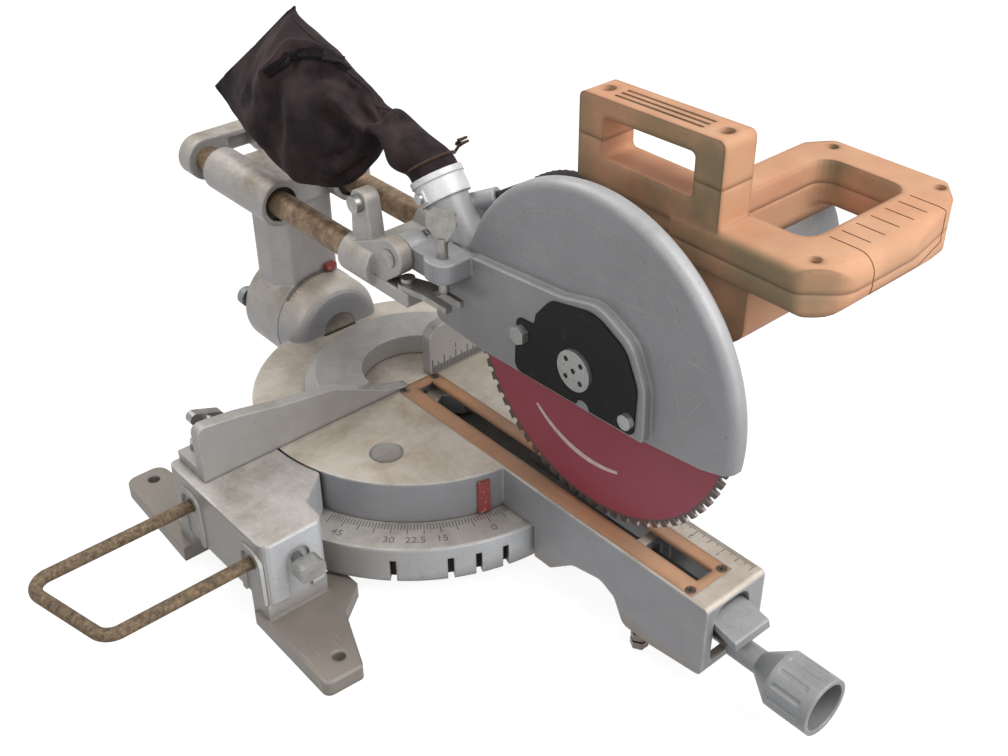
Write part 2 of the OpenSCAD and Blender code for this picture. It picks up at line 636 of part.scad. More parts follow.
// Bevel pivot: bolt through the drum and the tilting arm, with a lock lever behind
bevel_head_r = 17;
bevel_head_t = 6;
arm_rear = drum_y[1] + 53;
lock_t = 12;
lock_reach = 48;
module bevel_pivot_bolt() color(steel_grey) {
    rod_y(bevel_bolt_d / 2, [drum_y[0] + 2, arm_rear + lock_t + 6], [0, table]);
    rod_y(bevel_head_r, [drum_y[0] + 0.5, drum_y[0] + bevel_head_t - seat_gap], [0, table]);
}
module bevel_lock_lever() color(cast_grey) difference() {
    union() {
        rod_y(bevel_bolt_d / 2 + 6, [arm_rear + pass_gap, arm_rear + lock_t], [0, table]);
        translate([0, 0, table]) rotate([0, -76, 0])
            slab_y([arm_rear + 3, arm_rear + lock_t - 1], rounded([[-7, 0], [7, 0], [9, lock_reach],
            [-9, lock_reach]],
                [0, 0, 8, 8]));
    }
    rod_y(bevel_bolt_d / 2 + run_gap, [0, 2 * arm_rear], [0, table]);
}

// Tilting arm: pivot disc, post and two barrels that hold the rail bushes
bush_r = rail_d / 2 + 4;
post_half_w = 31;
barrel_r = barrel_d / 2;
module rail_housing() color(cast_grey) difference() {
    union() {
        rod_y(drum_r + 0.3, [drum_y[1] + pass_gap, arm_rear], [0, table]);
        slab_z([table, rail_h], rounded([[8 - post_half_w, drum_y[1] + pass_gap],
            [post_half_w - 8, drum_y[1] + pass_gap],
            [post_half_w, drum_y[1] + 22], [post_half_w, arm_rear], [-post_half_w, arm_rear],
            [-post_half_w, drum_y[1] + 22]], [3, 3, 12, 10, 10, 12]));
        both_sides() rod_y(barrel_r, [barrel_front, barrel_rear], [-rail_x, rail_h]);
        box([-rail_x, rail_x], [barrel_front + 13, barrel_rear - 11], [rail_h - 13, rail_h + 12]);
    }
    rod_y(bevel_bolt_d / 2 + run_gap, [0, 2 * arm_rear], [0, table]);
    both_sides() rod_y(bush_r + seat_gap, [barrel_front - 1, barrel_rear + 1], [-rail_x, rail_h]);
    rod_x(slide_lock_d / 2 + run_gap, [rail_x, rail_x + barrel_d], [slide_lock_y, rail_h]);
    // hollow of the post, open at the rear
    box([-post_half_w + 2 * wall, post_half_w - 2 * wall], [drum_y[1] + 22, arm_rear + 1],
        [table + drum_r + 8, rail_h - barrel_r - 8]);
}
bush_inset = 5;
module rail_bushes() color(black) both_sides()
    for (y = [[barrel_front + bush_inset, barrel_front + bush_inset + bush_len],
            [barrel_rear - bush_inset - bush_len, barrel_rear - bush_inset]])
        difference() {
            rod_y(bush_r, y, [-rail_x, rail_h]);
            rod_y(rail_d / 2 + run_gap, [0, 2 * barrel_rear], [-rail_x, rail_h]);
        }
slide_lock_d = 8;
slide_lock_y = (barrel_front + barrel_rear) / 2;
module slide_lock_knob() color(black) {
    rod_x(slide_lock_d / 2, [rail_x + rail_d / 2 + pass_gap, rail_x + barrel_r + 12], [slide_lock_y, rail_h]);
    difference() {
        rod_x(14, [rail_x + barrel_r + 10, rail_x + barrel_r + 24], [slide_lock_y, rail_h]);
        for (a = [0:60:300]) translate([0, slide_lock_y, rail_h]) rotate([a, 0, 0])
            rod_x(5, [rail_x + barrel_r + 9, rail_x + barrel_r + 25], [17, 0]);
    }
}
module bevel_pointer() color([0.5, 0.14, 0.13])
    box([9, 19], [drum_y[1] - 6, drum_y[1] + pass_gap - seat_gap],
    [table + drum_r + pass_gap, table + drum_r + 6]);

// Sliding carriage: two rails, the bracket that joins their rear ends and the front casting
carriage_rear = 22;
carriage_front = -14;
socket_r = rail_d / 2 + 6;
module slide_rails() color(rust) both_sides()
    rod_y(rail_d / 2, [carriage_front + 4, rail_end - 4], [-rail_x, rail_h]);
bracket_r = rail_d / 2 + 8;
bracket_front = rail_end - 18;
module rail_end_bracket() color(cast_grey) difference() {
    union() {
        both_sides() rod_y(bracket_r, [bracket_front, rail_end], [-rail_x, rail_h]);
        box([-rail_x, rail_x], [bracket_front, rail_end], [rail_h - 4, rail_h + bracket_r]);
    }
    both_sides() rod_y(rail_d / 2 + seat_gap, [0, rail_end - 4], [-rail_x, rail_h]);
    // hollow between the two sockets
    box([-rail_x + bracket_r + 3, rail_x - bracket_r - 3], [bracket_front - 1, rail_end - 5],
        [rail_h - 5, rail_h + bracket_r - 5]);
}
link_lug_x = [-42, -29];
link_lug_at = [4, table + 180];
link_screw_d = 6;
lug_in = lug_half_w - lug_w;
stop_z = [table + 128, table + 133];
stop_pivot = [-38, -48];
stop_screw_d = 6;
module carriage() color(cast_grey) difference() {
    union() {
        both_sides() {
            rod_y(socket_r, [carriage_front, carriage_rear], [-rail_x, rail_h]);
            // hinge lug and the web that carries it
            rod_x(lug_d / 2, [lug_in, lug_half_w], hinge);
            slab_x([lug_in, lug_half_w], [[hinge.x - 8, hinge.y - 12], [carriage_front, rail_h - socket_r + 3],
                [carriage_rear - 4, rail_h - socket_r + 3], [carriage_rear - 4, rail_h + 12],
                [hinge.x + 6, hinge.y + 13]]);
        }
        box([-rail_x, rail_x], [carriage_front, carriage_rear], [rail_h - 12, rail_h + 6]);
        // upright lug for the lower guard's link
        slab_x(link_lug_x, rounded([[-12, rail_h], [16, rail_h], [link_lug_at.x + 9, link_lug_at.y + 10],
            [link_lug_at.x - 9, link_lug_at.y + 10]], [0, 0, 8, 8]));
        // shelf under the stop plate
        box([stop_pivot.x - 8, stop_pivot.x + 8], [stop_pivot.y - 8, carriage_front + 2],
            [stop_z[0] - 11, stop_z[0] - seat_gap]);
    }
    both_sides() rod_y(rail_d / 2 + seat_gap, [carriage_front + 4 - seat_gap, carriage_rear + 1],
        [-rail_x, rail_h]);
    rod_x(pin_d / 2 + seat_gap, [-2 * lug_half_w, 2 * lug_half_w], hinge);
    rod_x(link_screw_d / 2 + seat_gap, [-80, link_lug_x[1] - 3], link_lug_at);
    rod_z(stop_screw_d / 2 + seat_gap, [stop_z[0] - 8, stop_z[1]], stop_pivot);
}
module hinge_pin() color(steel_grey) rod_x(pin_d / 2, [-lug_half_w - 1, lug_half_w + 1], hinge);
// Return spring: one wire wound about the pin between the head's knuckles
spring_r = pin_d / 2 + spring_wire / 2 + 1;
spring_pitch = spring_wire + 0.7;
spring_from = -14;
spring_points = [for (i = [0:8 * spring_turns])
    [spring_from + spring_pitch * i / 8, hinge.x + spring_r * cos(45 * i), hinge.y + spring_r * sin(45 * i)]];
spring_self_gap = min([for (i = [0:len(spring_points) - 1]) for (k = [i + 5:1:len(spring_points) - 1])
    norm(spring_points[i] - spring_points[k])]) - spring_wire;
echo(spring_self_gap = spring_self_gap);
module hinge_spring() color(steel_grey) tube(spring_points, spring_wire / 2, 6);
module carriage_screws() color(steel_grey) {
    rod_x(link_screw_d / 2, [link_lug_x[0] - 1, link_lug_x[1] - 4], link_lug_at);
    rod_x(7, [link_lug_x[0] - 6, link_lug_x[0] - seat_gap], link_lug_at);
    rod_z(stop_screw_d / 2, [stop_z[0] - 7, stop_z[1] + 0.5], stop_pivot);
    rod_z(5.5, [stop_z[1] + pass_gap, stop_z[1] + 4], stop_pivot);
}
// Forked plate that sets the depth, swung about its screw
fork_x = -31;
fork_tip = -97;
fork_half_w = 11;
fork_slot = 10;
module stop_plate() color(steel_grey) difference() {
    union() {
        rod_z(8, stop_z, stop_pivot);
        slab_z(stop_z, [[stop_pivot.x - 8, stop_pivot.y], [fork_x - fork_half_w, stop_pivot.y - 22],
            [fork_x - fork_half_w, fork_tip],
            [fork_x + 6, fork_tip], [fork_x + 6, stop_pivot.y - 14], [stop_pivot.x + 8, stop_pivot.y]]);
    }
    rod_z(stop_screw_d / 2 + run_gap, [0, 2 * stop_z[1]], stop_pivot);
    box([fork_x - fork_slot / 2, fork_x + fork_slot / 2 - 2.5], [fork_tip - 1, fork_tip + 24],
        [0, 2 * stop_z[1]]);
}

// Head casting: guard drum, hub plate, hinge knuckles, depth lug and dust spout
knuckle_r = lug_d / 2 - 0.5;
knuckle_x = lug_in - pass_gap;
depth_at = [-31, -82];
depth_d = 8;
depth_z = [table + 150, table + 165];
depth_lug_x = [-44, hub_face + 4];
spout_at = [spout_x, -66, table + 156];
spout_len = 53;
gland_at = [24, -58];
gland_mid = [gland_at.x, gland_at.y, table + 182];
gland_dir = [0.48, -0.80, 0.36];
gland_r = 8;
module on_gland() translate(gland_mid - 8 * gland_dir)
    rotate([0, acos(gland_dir.z / norm(gland_dir)), atan2(gland_dir.y, gland_dir.x)]) children();
guard_edge = [[-30, table + 95], [-106, table + 91], [-261, table + 91], [-314, table + 97],
    [-360, table + 110],
    [-360, table + 300], [-30, table + 300]];
hub_plate = [[-52, table + 95], [-106, table + 91], [-270, table + 96], [-269, table + 136],
    [-256, table + 166], [-224, table + 182], [-188, table + 173], [-98, table + 165], [-60, table + 159]];
spindle_hole_r = flange_r + 1.5;
guard_at = arbor - [0, 2];
guard_round = 7;
guard_inside = [guard_wall - guard_left, guard_right - guard_wall];
module on_spout() translate(spout_at) rotate([-spout_tilt, 0, 0]) children();
module guard_drum() intersection() {
    turned_x(guard_at, concat([[0, -guard_left], [guard_r - guard_round, -guard_left]],
        [for (a = [15:15:90]) [guard_r - guard_round * (1 - sin(a)), -guard_left + guard_round * (1 - cos(a))]],
        [[guard_r, guard_right - 3], [guard_r - 1, guard_right - 1], [guard_r - 3, guard_right],
        [0, guard_right]]));
    slab_x([-guard_left - 1, guard_right + 1], guard_edge);
}
module guard_cavity() turned_x(guard_at, [[0, guard_inside[0]], [guard_r - guard_wall - 3.5, guard_inside[0]],
    [guard_r - guard_wall, guard_inside[0] + 3.5], [guard_r - guard_wall, guard_inside[1]],
    [0, guard_inside[1]]]);
module guard_casting() color(cast_grey) difference() {
    union() {
        guard_drum();
        slab_x([hub_face, guard_inside[0]], rounded(hub_plate, [6, 3, 3, 30, 24, 28, 40, 12, 8]));
        // two knuckles about the hinge pin, with arms to the drum
        rod_x(knuckle_r, [-knuckle_x, hub_face], hinge);
        box([-knuckle_x, hub_face + 1], [-78, hinge.x], [hinge.y - 9, hinge.y + 9]);
        rod_x(knuckle_r, [spout_x, knuckle_x], hinge);
        box([hub_face, knuckle_x], [-88, hinge.x], [hinge.y - 9, hinge.y + 10]);
        // lug of the depth screw
        slab_z(depth_z, rounded([[depth_lug_x[0], depth_at.y - 14], [depth_lug_x[1], depth_at.y - 14],
            [depth_lug_x[1], depth_at.y + 14], [depth_lug_x[0], depth_at.y + 14]], [12, 0, 0, 12]));
        intersection() {
            union() {
                on_spout() cylinder(r = spout_d / 2, h = 2 * spout_len - 10, center = true);
                rod_z(gland_r, [table + 150, gland_mid.z], gland_at);
                on_gland() cylinder(r = gland_r, h = 24);
            }
            difference() {
                box([-60, 60], [-120, 60], [table + 100, table + 260]);
                rod_x(guard_r - guard_wall, [-60, 60], guard_at);
            }
        }
    }
    guard_cavity();
    // bore of the spout and its throat from the drum
    on_spout() translate([0, 0, -6]) cylinder(r = spout_bore / 2, h = 2 * spout_len);
    box(guard_inside, [-100, spout_at.y], [table + 145, hinge.y + 8]);
    rod_x(pin_d / 2 + run_gap, [-2 * lug_half_w, 2 * lug_half_w], hinge);
    // room for the return spring and for the carriage beside the knuckles
    rod_x(spring_r + spring_wire / 2 + pass_gap + 0.4, [hub_face + 1, spout_x], hinge);
    rod_z(depth_d / 2 + run_gap, [depth_z[0] - 1, depth_z[1] + 1], depth_at);
    // room for the arbor bolt inside the hub plate
    rod_x(32, [hub_face + 4, guard_inside[0] + 1], arbor);
    rod_x(spindle_hole_r, [guard_inside[1] - 1, guard_right + 1], arbor);
    for (s = cover_screws) rod_x(s[2] / 2 + seat_gap, [hub_face - 1, hub_face + hub_plate_t - 2],
        [s[0], table + s[1]]);
    on_gland() translate([0, 0, 12]) cylinder(r = lead_r + 0.3, h = 13);
    collar_screw_cut();
}
// Black cover over the arbor, with the hub disc of the lower guard on it
cover_outline = [[-146, table + 139], [-144, table + 94], [-262, table + 98], [-263, table + 136],
    [-251, table + 161], [-222, table + 176], [-180, table + 167], [-166, table + 150], [-164, table + 140]];
cover_screws = [[-152, 128, 8], [-257, 109, 6]];
cover_notch = [-214, table + 95];
module centre_cover() color(black) difference() {
    slab_x([cover_face, hub_face - seat_gap], rounded(cover_outline, [5, 7, 5, 26, 22, 30, 14, 5, 4]));
    for (s = cover_screws) rod_x(s[2] / 2 + 0.2, [2 * cover_face, 0], [s[0], table + s[1]]);
    rod_x(7, [2 * cover_face, 0], cover_notch);
}
module guard_hub() color(steel_grey) difference() {
    rod_x(hub_r, [cover_face - 3, cover_face - seat_gap], arbor);
    for (a = [45:90:315]) translate([0, arbor.x, arbor.y]) rotate([a, 0, 0])
        rod_x(hub_hole_d / 2, [cover_face - 5, cover_face + 1], [hub_hole_circle_d / 2, 0]);
    rod_x(hub_hole_d / 2, [cover_face - 5, cover_face + 1], arbor);
}
module guard_fasteners() color(steel_grey) {
    for (s = cover_screws) {
        rod_x(s[2] / 2, [cover_face - 1, hub_face + hub_plate_t - 3], [s[0], table + s[1]]);
        translate([0, s[0], table + s[1]]) rotate([0, -90, 0]) translate([0, 0, -cover_face + seat_gap])
            cylinder(r = s[2] * 0.95, h = s[2] * 0.7, $fn = s[2] > 7 ? 6 : 24);
    }
    on_spout() translate([-collar_d / 2 - 2, 0, collar_screw_s])
        rotate([0, 90, 0]) cylinder(r = 2, h = collar_d / 2 - spout_bore / 2 + 1);
    on_spout() translate([-collar_d / 2 - 3, 0, collar_screw_s])
        rotate([0, 90, 0]) cylinder(r = 4, h = 3 - seat_gap);
}
collar_from = spout_len - collar_len + 4;
collar_screw_s = collar_from + 7;
module collar_screw_cut() on_spout()
    translate([-collar_d, 0, collar_screw_s]) rotate([0, 90, 0]) cylinder(r = 2 + seat_gap, h = collar_d);
module spout_collar() color(cast_grey) difference() {
    on_spout() union() {
        translate([0, 0, collar_from]) cylinder(r = collar_d / 2 - 1, h = collar_len);
        translate([0, 0, collar_from + collar_len - 5]) cylinder(r = collar_d / 2, h = 5);
        translate([-collar_d / 2, -5, collar_screw_s - 5]) cube([6, 10, 10]);
    }
    on_spout() translate([0, 0, collar_from - 1])
        cylinder(r = spout_d / 2 + seat_gap, h = spout_len - 5 - collar_from + 1 + seat_gap);
    on_spout() cylinder(r = spout_bore / 2, h = 4 * spout_len, center = true);
    collar_screw_cut();
}
// Dust bag of cloth: a neck on the collar and a slack pouch that lies over the slide
collar_end = collar_from + collar_len;
bag_neck_r = collar_d / 2 - 3;
bag_neck = 26;
bag_points = [[-2, 131, 278], [-14, 234, 200], [-20, 110, 169], [-16, 68, 178], [-12, 54, 238],
    [10, 54, 236], [-42, 106, 206], [-38, 146, 218], [18, 100, 206], [18, 146, 206],
    [-16, 190, 186]];
module dust_bag() color([0.13, 0.11, 0.11]) {
    on_spout() translate([0, 0, collar_end + pass_gap]) cylinder(r = bag_neck_r, h = bag_neck);
    hull() {
        on_spout() translate([0, 0, collar_end + bag_neck - 4]) cylinder(r = bag_neck_r - 1, h = 4, $fn = 24);
        for (p = bag_points) translate(p + [0, 0, table]) sphere(r = 11, $fn = 20);
    }
}
// Wire spring clip: a ring round the bag's neck that ends in a small coil
clip_wire = 2.4;
clip_s = collar_end + 9;
clip_r = bag_neck_r + clip_wire / 2 + 0.3;
clip_coil_r = 4.5;
clip_points = concat(
    [for (a = [20:20:340]) [clip_r * cos(a + 90), clip_r * sin(a + 90), clip_s]],
    [for (i = [0:14]) let (a = 45 * i)
        [clip_r * cos(70) + 3 + clip_coil_r * sin(a), clip_r * sin(70) + 4 + clip_coil_r * (1 - cos(a)),
        clip_s + 3 + 3 * i / 8]]);
module bag_clip() color(rust) on_spout() rotate(-90) tube(clip_points, clip_wire / 2, 6);
module depth_screw() color(steel_grey) {
    rod_z(depth_d / 2, [stop_z[1] + 4, depth_z[1] + 16], depth_at);
    translate([depth_at.x, depth_at.y, 0])
        rotate(35) slab_x([-2.5, 2.5], rounded([[-11, depth_z[1] + 38], [-11, depth_z[1] + 26],
        [-4, depth_z[1] + 14], [4, depth_z[1] + 14], [11, depth_z[1] + 26], [11, depth_z[1] + 38]],
        [5, 5, 0, 0, 5, 5]));
}

// Gear case on the guard's right face, with the two bearings of the spindle
case_end = 66;
case_from = guard_right + seat_gap;
pocket_from = 43;
pocket_x = [pocket_from, pocket_from + gear_w + 3];
gear_x = [pocket_x[0] + 1.5, pocket_x[0] + 1.5 + gear_w];
gear_r = gear_module * gear_teeth / 2;
pinion_r = gear_module * pinion_teeth / 2;
bearing_a_x = [case_from + 5, case_from + 17];
bearing_b_x = [pocket_x[1] + 1, case_end - 1];
spindle_r = spindle_d / 2;
shaft_r = 5;
bearing_a_r = 16;
bearing_b_r = 12;
end_bearing_x = [can_end + 18, can_end + 26];
lock_at = [-blade_y + gear_r + gear_module + 7.5, arbor.y];
lock_x = (gear_x[0] + gear_x[1]) / 2;
lock_r = 4;
module gear_case() color(cast_grey) difference() {
    union() {
        rod_x(gear_r + 8, [case_from, case_end], arbor);
        rod_x(motor_r - 5, [case_from, case_end], motor);
    }
    rod_x(gear_r + gear_module + 1, pocket_x, arbor);
    rod_x(pinion_r + gear_module + 1.5, pocket_x, motor);
    rod_x(bearing_a_r + seat_gap, [case_from - 1, bearing_a_x[1] + seat_gap], arbor);
    rod_x(spindle_r + 1, [0, bearing_b_x[1]], arbor);
    rod_x(bearing_b_r + seat_gap, [bearing_b_x[0] - seat_gap, case_end + 1], arbor);
    rod_x(shaft_r + 1, [pocket_x[0], case_end + 1], motor);
    rod_x(bearing_b_r + seat_gap, [bearing_b_x[0] - seat_gap, case_end + 1], motor);
    rod_y(lock_r + run_gap, [lock_at.x - 8, lock_at.x + 20], [lock_x, lock_at.y]);
}
module bearing(x, at, bore, r) difference() {
    rod_x(r, x, at);
    rod_x(bore + seat_gap, [x[0] - 1, x[1] + 1], at);
}
module shaft_bearings() color(steel_grey) {
    bearing(bearing_a_x, arbor, spindle_r + run_gap, bearing_a_r);
    bearing(bearing_b_x, arbor, spindle_r + run_gap, bearing_b_r);
    bearing(bearing_b_x, motor, shaft_r + run_gap, bearing_b_r);
    bearing(end_bearing_x, motor, shaft_r + run_gap, bearing_b_r);
}
module spindle_lock() color(black) {
    rod_y(lock_r, [lock_at.x - 2.5, lock_at.x + 12], [lock_x, lock_at.y]);
    rod_y(8, [lock_at.x + 7, lock_at.x + 13], [lock_x, lock_at.y]);
}

// Motor: metal can and end cap, stator, brush caps
module motor_can() color(cast_grey) difference() {
    rod_x(motor_r, [case_end + seat_gap, can_end], motor);
    rod_x(motor_r - can_wall, [case_end, can_end + 1], motor);
}
cap_end = can_end + 36;
brush_x = can_end + 8;
brush_r = 7;
module motor_end_cap() color(cast_grey) difference() {
    turned_x(motor, [[0, can_end + seat_gap], [motor_r, can_end + seat_gap], [motor_r, can_end + 28],
        [motor_r - 4, can_end + 33], [motor_r - 10, cap_end], [0, cap_end]]);
    rod_x(motor_r - can_wall, [can_end, can_end + 16], motor);
    rod_x(bearing_b_r + seat_gap, [can_end, end_bearing_x[1] + seat_gap], motor);
    rod_y(brush_r + seat_gap, [motor.x - 2 * motor_r, motor.x + 2 * motor_r], [brush_x, motor.y]);
}
module brush_caps() color(black) for (s = [-1, 1]) translate([0, motor.x, 0])
    rod_y(brush_r, s < 0 ? [-motor_r - 2, -motor_r + 10] : [motor_r - 10, motor_r + 2], [brush_x, motor.y]);
stack_from = case_end + 30;
rotor_r = 22;
module stator() color(copper) difference() {
    rod_x(motor_r - can_wall - seat_gap, [stack_from, stack_from + stack_len], motor);
    rod_x(rotor_r + 1, [0, cap_end], motor);
}

// Plastic housing in a lower and an upper half, with the loop handle between them
parting = table + grip_top - grip_depth / 2 - 1;
grip_bottom = table + grip_top - grip_depth;
body_x = [grip_left + 3, grip_left + grip_w];
step_x = 102;
step_top = table + 185;
body_front = 293;
body_rear = 140;
body_bottom = table + 153;
body_top = table + 229;
loop_rear = 215;
grip_bow = 5;
loop_y = [-grip_front - grip_bow, -loop_rear];
loop = rounded([[grip_left, loop_y[1] - 11], [grip_left, -grip_front + 18], [grip_left + 24, loop_y[0]],
    [grip_left + 92, loop_y[0]], [grip_right - 30, -grip_front + 5], [grip_right - 4, -grip_front + 28],
    [grip_right, loop_y[1] - 20], [grip_right - 30, loop_y[1]], [grip_left + grip_w, loop_y[1]]],
    [3, 12, 24, 60, 30, 20, 24, 20, 0]);
loop_z = [table + grip_top - grip_depth, table + grip_top];
loop_window = rounded(rect([grip_left + grip_w, grip_right - grip_w],
    [grip_w - grip_front + 2, -loop_rear - 27]), 14);
carry_x = [grip_left + 1, grip_left + 1 + carry_w];
carry_y = [-266, -139];
carry_leg = 23;
carry_part = table + 258;
carry_floor = table + 246;
trigger_x = [108, 158];
trigger_z = [parting - 8, parting + 8];
grip_inner = grip_w - grip_front + 2;
switch_x = [116, 150];
handle_screw_at = [[grip_left + 18, -235], [grip_left + 17, -330], [grip_right - 17, -236],
    [grip_right - 18, -324]];
handle_screw_r = 2.5;
handle_hole_r = 4.5;
carry_screw_y = [carry_y[0] + 12, carry_y[1] - 12];

module trigger_pocket() {
    box([trigger_x[0] - pass_gap, trigger_x[1] + pass_gap], [grip_inner - 14, grip_inner + 1],
        [trigger_z[0] - pass_gap, trigger_z[1] + pass_gap]);
    box([switch_x[0] - seat_gap, switch_x[1] + seat_gap], [grip_inner - 25, grip_inner - 13],
        [trigger_z[0] - seat_gap, trigger_z[1] + seat_gap]);
}
module handle_loop(z) intersection() {
    difference() {
        slab_z(z, loop);
        slab_z([z[0] - 1, z[1] + 1], loop_window);
    }
    // edges rounded all round, most where the hand grips
    slab_x([grip_left - 1, grip_right + 1], rounded(rect(loop_y, loop_z), [13, 4, 4, 13]));
    slab_y(loop_y, rounded(rect([grip_left, grip_right], loop_z), [6, 9, 9, 6]));
}
module housing_lower() color(faded_orange) difference() {
    union() {
        handle_loop([grip_bottom, parting - seat_gap]);
        slab_x(body_x, rounded([[-body_front, body_bottom], [-body_rear, body_bottom + 16],
            [-body_rear, parting - seat_gap],
            [-body_front, parting - seat_gap]], [14, 14, 0, 0]));
        // low step beside the motor and the wall under the loop's rear bar
        slab_x([body_x[1] - 1, step_x], rounded([[-body_front, body_bottom], [-loop_rear, body_bottom + 8],
            [-loop_rear, step_top], [-body_front, step_top]], [14, 0, 0, 8]));
        box([body_x[1] - 1, grip_right - 16], [-loop_rear - 27, -loop_rear], [table + 178, grip_bottom + 1]);
    }
    rod_x(motor_r + seat_gap, [0, 2 * grip_right], motor);
    // hollow of the body in front of the motor
    box([body_x[0] + 4, body_x[1] - 4], [-body_front + 4, motor.x - motor_r + 4],
        [body_bottom + 4, grip_bottom - 4]);
    trigger_pocket();
    for (p = handle_screw_at) rod_z(handle_screw_r + seat_gap, [grip_bottom + 4, parting + 1], p);
}
module housing_upper() color(faded_orange) difference() {
    union() {
        handle_loop([parting, table + grip_top]);
        slab_x(body_x, rounded([[-body_front + 6, parting], [-body_rear, parting], [-body_rear, body_top - 8],
            [-body_rear - 20, body_top], [-body_front + 10, body_top]], [0, 0, 8, 12, 8]));
        // plinth and leg stubs of the carry handle
        slab_x(carry_x, rounded([[carry_y[0], body_top - 4], [carry_y[1], body_top - 4],
            [carry_y[1], carry_part - seat_gap],
            [carry_y[1] - carry_leg, carry_part - seat_gap], [carry_y[1] - carry_leg, carry_floor],
            [carry_y[0] + carry_leg, carry_floor], [carry_y[0] + carry_leg, carry_part - seat_gap],
            [carry_y[0], carry_part - seat_gap]], [0, 0, 0, 0, 4, 4, 0, 0]));
    }
    rod_x(motor_r + seat_gap, [0, 2 * grip_right], motor);
    trigger_pocket();
    for (p = handle_screw_at) {
        rod_z(handle_screw_r + seat_gap, [0, table + grip_top + 1], p);
        rod_z(handle_hole_r, [table + grip_top - 7, table + grip_top + 1], p);
    }
    for (y = carry_screw_y) rod_z(handle_screw_r + seat_gap, [carry_part - 20, carry_part + 1],
        [carry_x[0] + carry_w / 2, y]);
}
module carry_cap() color(faded_orange) difference() {
    slab_x(carry_x, rounded([[carry_y[0], carry_part], [carry_y[0], table + carry_top + 3],
        [carry_y[1], table + carry_top],
        [carry_y[1], carry_part], [carry_y[1] - carry_leg, carry_part],
        [carry_y[1] - carry_leg, table + carry_top - 13],
        [carry_y[0] + carry_leg, table + carry_top - 11], [carry_y[0] + carry_leg, carry_part]],
        [0, 5, 5, 0, 0, 4, 4, 0]));
    for (y = carry_screw_y) {
        rod_z(handle_screw_r + seat_gap, [carry_part - 1, 2 * carry_part], [carry_x[0] + carry_w / 2, y]);
        rod_z(5.5, [table + carry_top - 9, 2 * carry_part], [carry_x[0] + carry_w / 2, y]);
    }
    // three grip grooves along the top
    for (i = [-1, 0, 1]) box([carry_x[0] + carry_w / 2 + 6 * i - 1.2, carry_x[0] + carry_w / 2 + 6 * i + 1.2],
        [carry_y[0] + 26, carry_y[1] - 24], [table + carry_top - 4, table + carry_top + 8]);
}
module handle_screws() color(steel_grey) {
    for (p = handle_screw_at) {
        rod_z(handle_screw_r, [grip_bottom + 5, table + grip_top - 7 + seat_gap], p);
        rod_z(handle_hole_r - 0.6, [table + grip_top - 7 + seat_gap, table + grip_top - 4], p);
    }
    for (y = carry_screw_y) {
        rod_z(handle_screw_r, [carry_part - 18, table + carry_top - 9 + seat_gap],
            [carry_x[0] + carry_w / 2, y]);
        rod_z(4.6, [table + carry_top - 9 + seat_gap, table + carry_top - 6], [carry_x[0] + carry_w / 2, y]);
    }
}
module trigger() color(black) slab_z(trigger_z, rounded([[trigger_x[0], grip_inner - 6],
    [trigger_x[1], grip_inner - 6],
    [trigger_x[1], grip_inner + 9], [trigger_x[0], grip_inner + 9]], [0, 0, 6, 6]));
module trigger_switch() color([0.25, 0.25, 0.27])
    box(switch_x, [grip_inner - 25 + seat_gap, grip_inner - 6.5 - trigger_travel],
    [trigger_z[0], trigger_z[1]]);

// Lead between the motor housing and the gland on the head casting
lead_r = 4;
boot_at = [58, table + 206];
boot_len = 20;
lead_start = [boot_at.x, -body_rear + boot_len, boot_at.y];
lead_end = gland_mid + 5 * gland_dir;
lead_bend = [lead_start, lead_start + [0, 26, 0], lead_end + 26 * gland_dir, lead_end];
lead_points = [for (i = [0:16]) let (t = i / 16) pow(1 - t, 3) * lead_bend[0] + 3 * pow(1 - t, 2) * t * lead_bend[1]
    + 3 * (1 - t) * t * t * lead_bend[2] + pow(t, 3) * lead_bend[3]];
module lead_boot() color(black) difference() {
    turned_y(boot_at, [[0, -body_rear + seat_gap], [8.5, -body_rear + seat_gap], [8.5, -body_rear + 8],
        [lead_r + 1.5, -body_rear + boot_len], [0, -body_rear + boot_len]]);
    rod_y(lead_r + seat_gap, [-body_rear + boot_len - 6, 0], boot_at);
}
module power_lead() color(black) tube(lead_points, lead_r, 10);

// Blade, spindle and what clamps them
tooth_pitch = 360 / blade_teeth;
tooth_h = 5;
function polar(r, a) = [r * cos(a), r * sin(a)];
module blade() color(blade_red) difference() {
    translate([-blade_plate / 2, arbor.x, arbor.y]) rotate([90, 0, 90]) linear_extrude(blade_plate)
        polygon([for (i = [0:blade_teeth - 1]) let (a = i * tooth_pitch) each [polar(blade_r - tooth_h, a),
            polar(blade_r - tooth_h + 0.6, a + 0.22 * tooth_pitch), polar(blade_r, a + 0.42 * tooth_pitch),
            polar(blade_r - 0.5, a + 0.86 * tooth_pitch)]]);
    rod_x(spindle_r + seat_gap, [-5, 5], arbor);
}
module spindle() color(steel_grey) difference() {
    union() {
        rod_x(spindle_r, [-blade_plate / 2 - flange_t + 1, bearing_b_x[1]], arbor);
        rod_x(spindle_r + 3, [blade_plate / 2 + flange_t + seat_gap, bearing_a_x[0] - pass_gap], arbor);
    }
    rod_x(4 + seat_gap, [-20, bearing_a_x[1]], arbor);
}
module blade_flanges() color(steel_grey) for (x = [[-blade_plate / 2 - flange_t, -blade_plate / 2 - seat_gap],
        [blade_plate / 2 + seat_gap, blade_plate / 2 + flange_t]]) difference() {
    rod_x(flange_r, x, arbor);
    rod_x(spindle_r + seat_gap, [-20, 20], arbor);
}
module arbor_bolt() color(steel_grey) {
    bolt_face = -blade_plate / 2 - flange_t - seat_gap;
    rod_x(4, [bolt_face - 1, bearing_a_x[1] - 4], arbor);
    rod_x(10, [bolt_face - 2, bolt_face], arbor);
    translate([bolt_face - 1, arbor.x, arbor.y]) rotate([0, -90, 0]) cylinder(r = 7.5, h = 5, $fn = 6);
}

